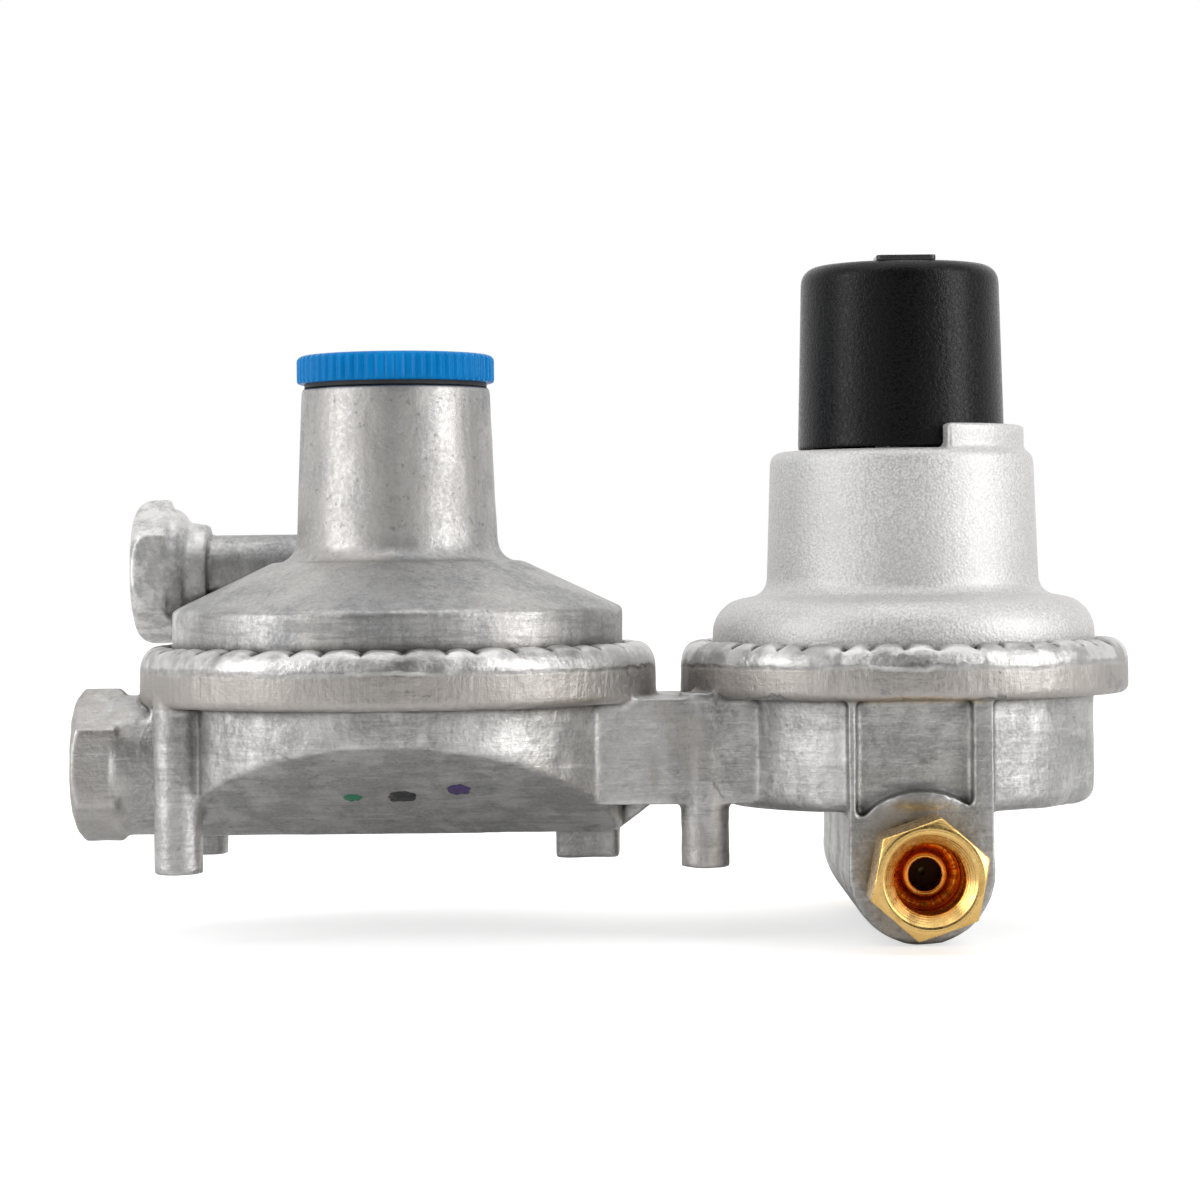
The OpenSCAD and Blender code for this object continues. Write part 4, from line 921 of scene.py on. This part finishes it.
class REGULATOR_OT_stage(bpy.types.Operator):
    """Sets the floor, the backdrop, the lamps and the camera"""

    bl_idname = "regulator.stage"
    bl_label = "Stage"

    def execute(self, context):
        self.make_camera(context.scene)
        self.make_floor()
        self.make_world(context.scene)
        self.make_lamps()
        context.scene.view_settings.view_transform = "Standard"
        return {"FINISHED"}

    def make_camera(self, scene):
        stage = scene.regulator_stage
        lens = bpy.data.cameras.new("camera")
        lens.lens = stage.lens
        lens.sensor_width = 36
        lens.clip_start = 0.01
        camera = bpy.data.objects.new("camera", lens)
        scene.collection.objects.link(camera)
        aim = Matrix.Rotation(math.pi / 2 - stage.pitch, 4, "X") @ Matrix.Rotation(-stage.roll, 4, "Z")
        camera.matrix_world = Matrix.Translation((-0.14 * MM, -stage.camera_distance, stage.camera_height)) @ aim
        scene.camera = camera

    def make_floor(self):
        """A pale floor that shows as plain white except where the object shades it."""
        mesh = bpy.data.meshes.new("floor")
        half = 4.0
        mesh.from_pydata([(-half, -half, 0), (half, -half, 0), (half, half, 0), (-half, half, 0)], [],
                         [(0, 1, 2, 3)])
        floor = bpy.data.objects.new("floor", mesh)
        bpy.context.scene.collection.objects.link(floor)
        floor.location.z = -0.1 * MM
        f = Finish("floor")
        f.constant(Roughness=0.9)
        glow = f.tree.nodes.new("ShaderNodeEmission")
        glow.inputs["Color"].default_value = (1, 1, 1, 1)
        rays = f.tree.nodes.new("ShaderNodeLightPath")
        seen = rays.outputs["Is Camera Ray"]
        f.feed(f.shader.inputs["Base Color"], f.blend(seen, (0.86, 0.86, 0.86), (0.6, 0.6, 0.6)))
        f.feed(glow.inputs["Strength"], f.math("MULTIPLY", seen, 0.62))
        both = f.tree.nodes.new("ShaderNodeAddShader")
        f.feed(both.inputs[0], f.shader.outputs[0])
        f.feed(both.inputs[1], glow.outputs[0])
        output = next(n for n in f.tree.nodes if n.type == "OUTPUT_MATERIAL")
        f.feed(output.inputs["Surface"], both.outputs[0])
        mesh.materials.append(f.material)

    def make_world(self, scene):
        """White behind the object; darker in front, so that metal shows form."""
        world = bpy.data.worlds.new("studio")
        scene.world = world
        world.use_nodes = True
        tree = world.node_tree
        background = next(n for n in tree.nodes if n.type == "BACKGROUND")
        rays = tree.nodes.new("ShaderNodeLightPath")
        place = tree.nodes.new("ShaderNodeTexCoord")
        split = tree.nodes.new("ShaderNodeSeparateXYZ")
        tree.links.new(place.outputs["Generated"], split.inputs[0])
        # Angle round the object, from straight in front (0) to straight behind (pi)
        forward = tree.nodes.new("ShaderNodeMath")
        forward.operation = "MULTIPLY"
        forward.inputs[1].default_value = -1
        tree.links.new(split.outputs["Y"], forward.inputs[0])
        angle = tree.nodes.new("ShaderNodeMath")
        angle.operation = "ARCTAN2"
        tree.links.new(split.outputs["X"], angle.inputs[0])
        tree.links.new(forward.outputs[0], angle.inputs[1])
        side = tree.nodes.new("ShaderNodeMath")
        side.operation = "ABSOLUTE"
        tree.links.new(angle.outputs[0], side.inputs[0])
        tent = tree.nodes.new("ShaderNodeValToRGB")
        tent.color_ramp.interpolation = "EASE"
        spread = tree.nodes.new("ShaderNodeMath")
        spread.operation = "DIVIDE"
        spread.inputs[1].default_value = math.pi
        tree.links.new(side.outputs[0], spread.inputs[0])
        tree.links.new(spread.outputs[0], tent.inputs["Fac"])
        self.set_ramp(tent.color_ramp, ((0.06, 0.08), (0.18, 0.60), (0.34, 0.90), (0.52, 0.62), (0.72, 1.0)))
        pick = tree.nodes.new("ShaderNodeMath")
        pick.operation = "MAXIMUM"
        tree.links.new(rays.outputs["Is Camera Ray"], pick.inputs[0])
        tree.links.new(tent.outputs["Color"], pick.inputs[1])
        tree.links.new(pick.outputs[0], background.inputs["Strength"])
        background.inputs["Color"].default_value = (1, 1, 1, 1)

    def set_ramp(self, ramp, stops):
        """Gives a ramp grey stops at the given places."""
        while len(ramp.elements) < len(stops):
            ramp.elements.new(0.5)
        for element, (position, grey) in zip(ramp.elements, stops):
            element.position = position
            element.color = (grey, grey, grey, 1)

    def make_lamps(self):
        # Name, place, aim, width, height, watts
        lamps = [("left_softbox", (-0.62, -0.26, 0.28), (0, 0, 0.05), 0.28, 0.60, 1.45),
                 ("right_softbox", (0.62, -0.30, 0.28), (0.02, 0, 0.05), 0.26, 0.60, 2.1),
                 ("top_softbox", (0.0, -0.10, 0.75), (0, 0, 0), 0.8, 0.6, 1.3)]
        for name, place, aim, width, height, watts in lamps:
            light = bpy.data.lights.new(name, "AREA")
            light.shape = "RECTANGLE"
            light.size = width
            light.size_y = height
            light.energy = watts
            lamp = bpy.data.objects.new(name, light)
            bpy.context.scene.collection.objects.link(lamp)
            way = Vector(aim) - Vector(place)
            lamp.matrix_world = Matrix.Translation(place) @ way.to_track_quat("-Z", "Y").to_matrix().to_4x4()


class REGULATOR_PT_panel(bpy.types.Panel):
    """Lists the regulator's pieces"""

    bl_idname = "REGULATOR_PT_panel"
    bl_label = "Changeover regulator"
    bl_space_type = "VIEW_3D"
    bl_region_type = "UI"
    bl_category = "Regulator"

    def draw(self, context):
        for operator in OPERATORS:
            self.layout.operator(operator.bl_idname)
        for name, group in SETTINGS.items():
            box = self.layout.box()
            for key in group.__annotations__:
                box.prop(getattr(context.scene, name), key)


OPERATORS = (
    REGULATOR_OT_stage,
    REGULATOR_OT_inner_parts,
    REGULATOR_OT_body,
    REGULATOR_OT_second_bonnet,
    REGULATOR_OT_first_bonnet,
    REGULATOR_OT_knob,
    REGULATOR_OT_cap,
    REGULATOR_OT_fittings,
    REGULATOR_OT_ink_marks,
)


def register():
    for kind in (*SETTINGS.values(), *OPERATORS, REGULATOR_PT_panel):
        bpy.utils.register_class(kind)
    for name, group in SETTINGS.items():
        setattr(bpy.types.Scene, name, bpy.props.PointerProperty(type=group))


def unregister():
    for name in SETTINGS:
        delattr(bpy.types.Scene, name)
    for kind in (REGULATOR_PT_panel, *reversed(OPERATORS), *reversed(tuple(SETTINGS.values()))):
        bpy.utils.unregister_class(kind)


def main():
    """Registers the add-on and builds every piece in order."""
    register()
    for operator in OPERATORS:
        group, name = operator.bl_idname.split(".")
        getattr(getattr(bpy.ops, group), name)()


if __name__ == "__main__":
    main()
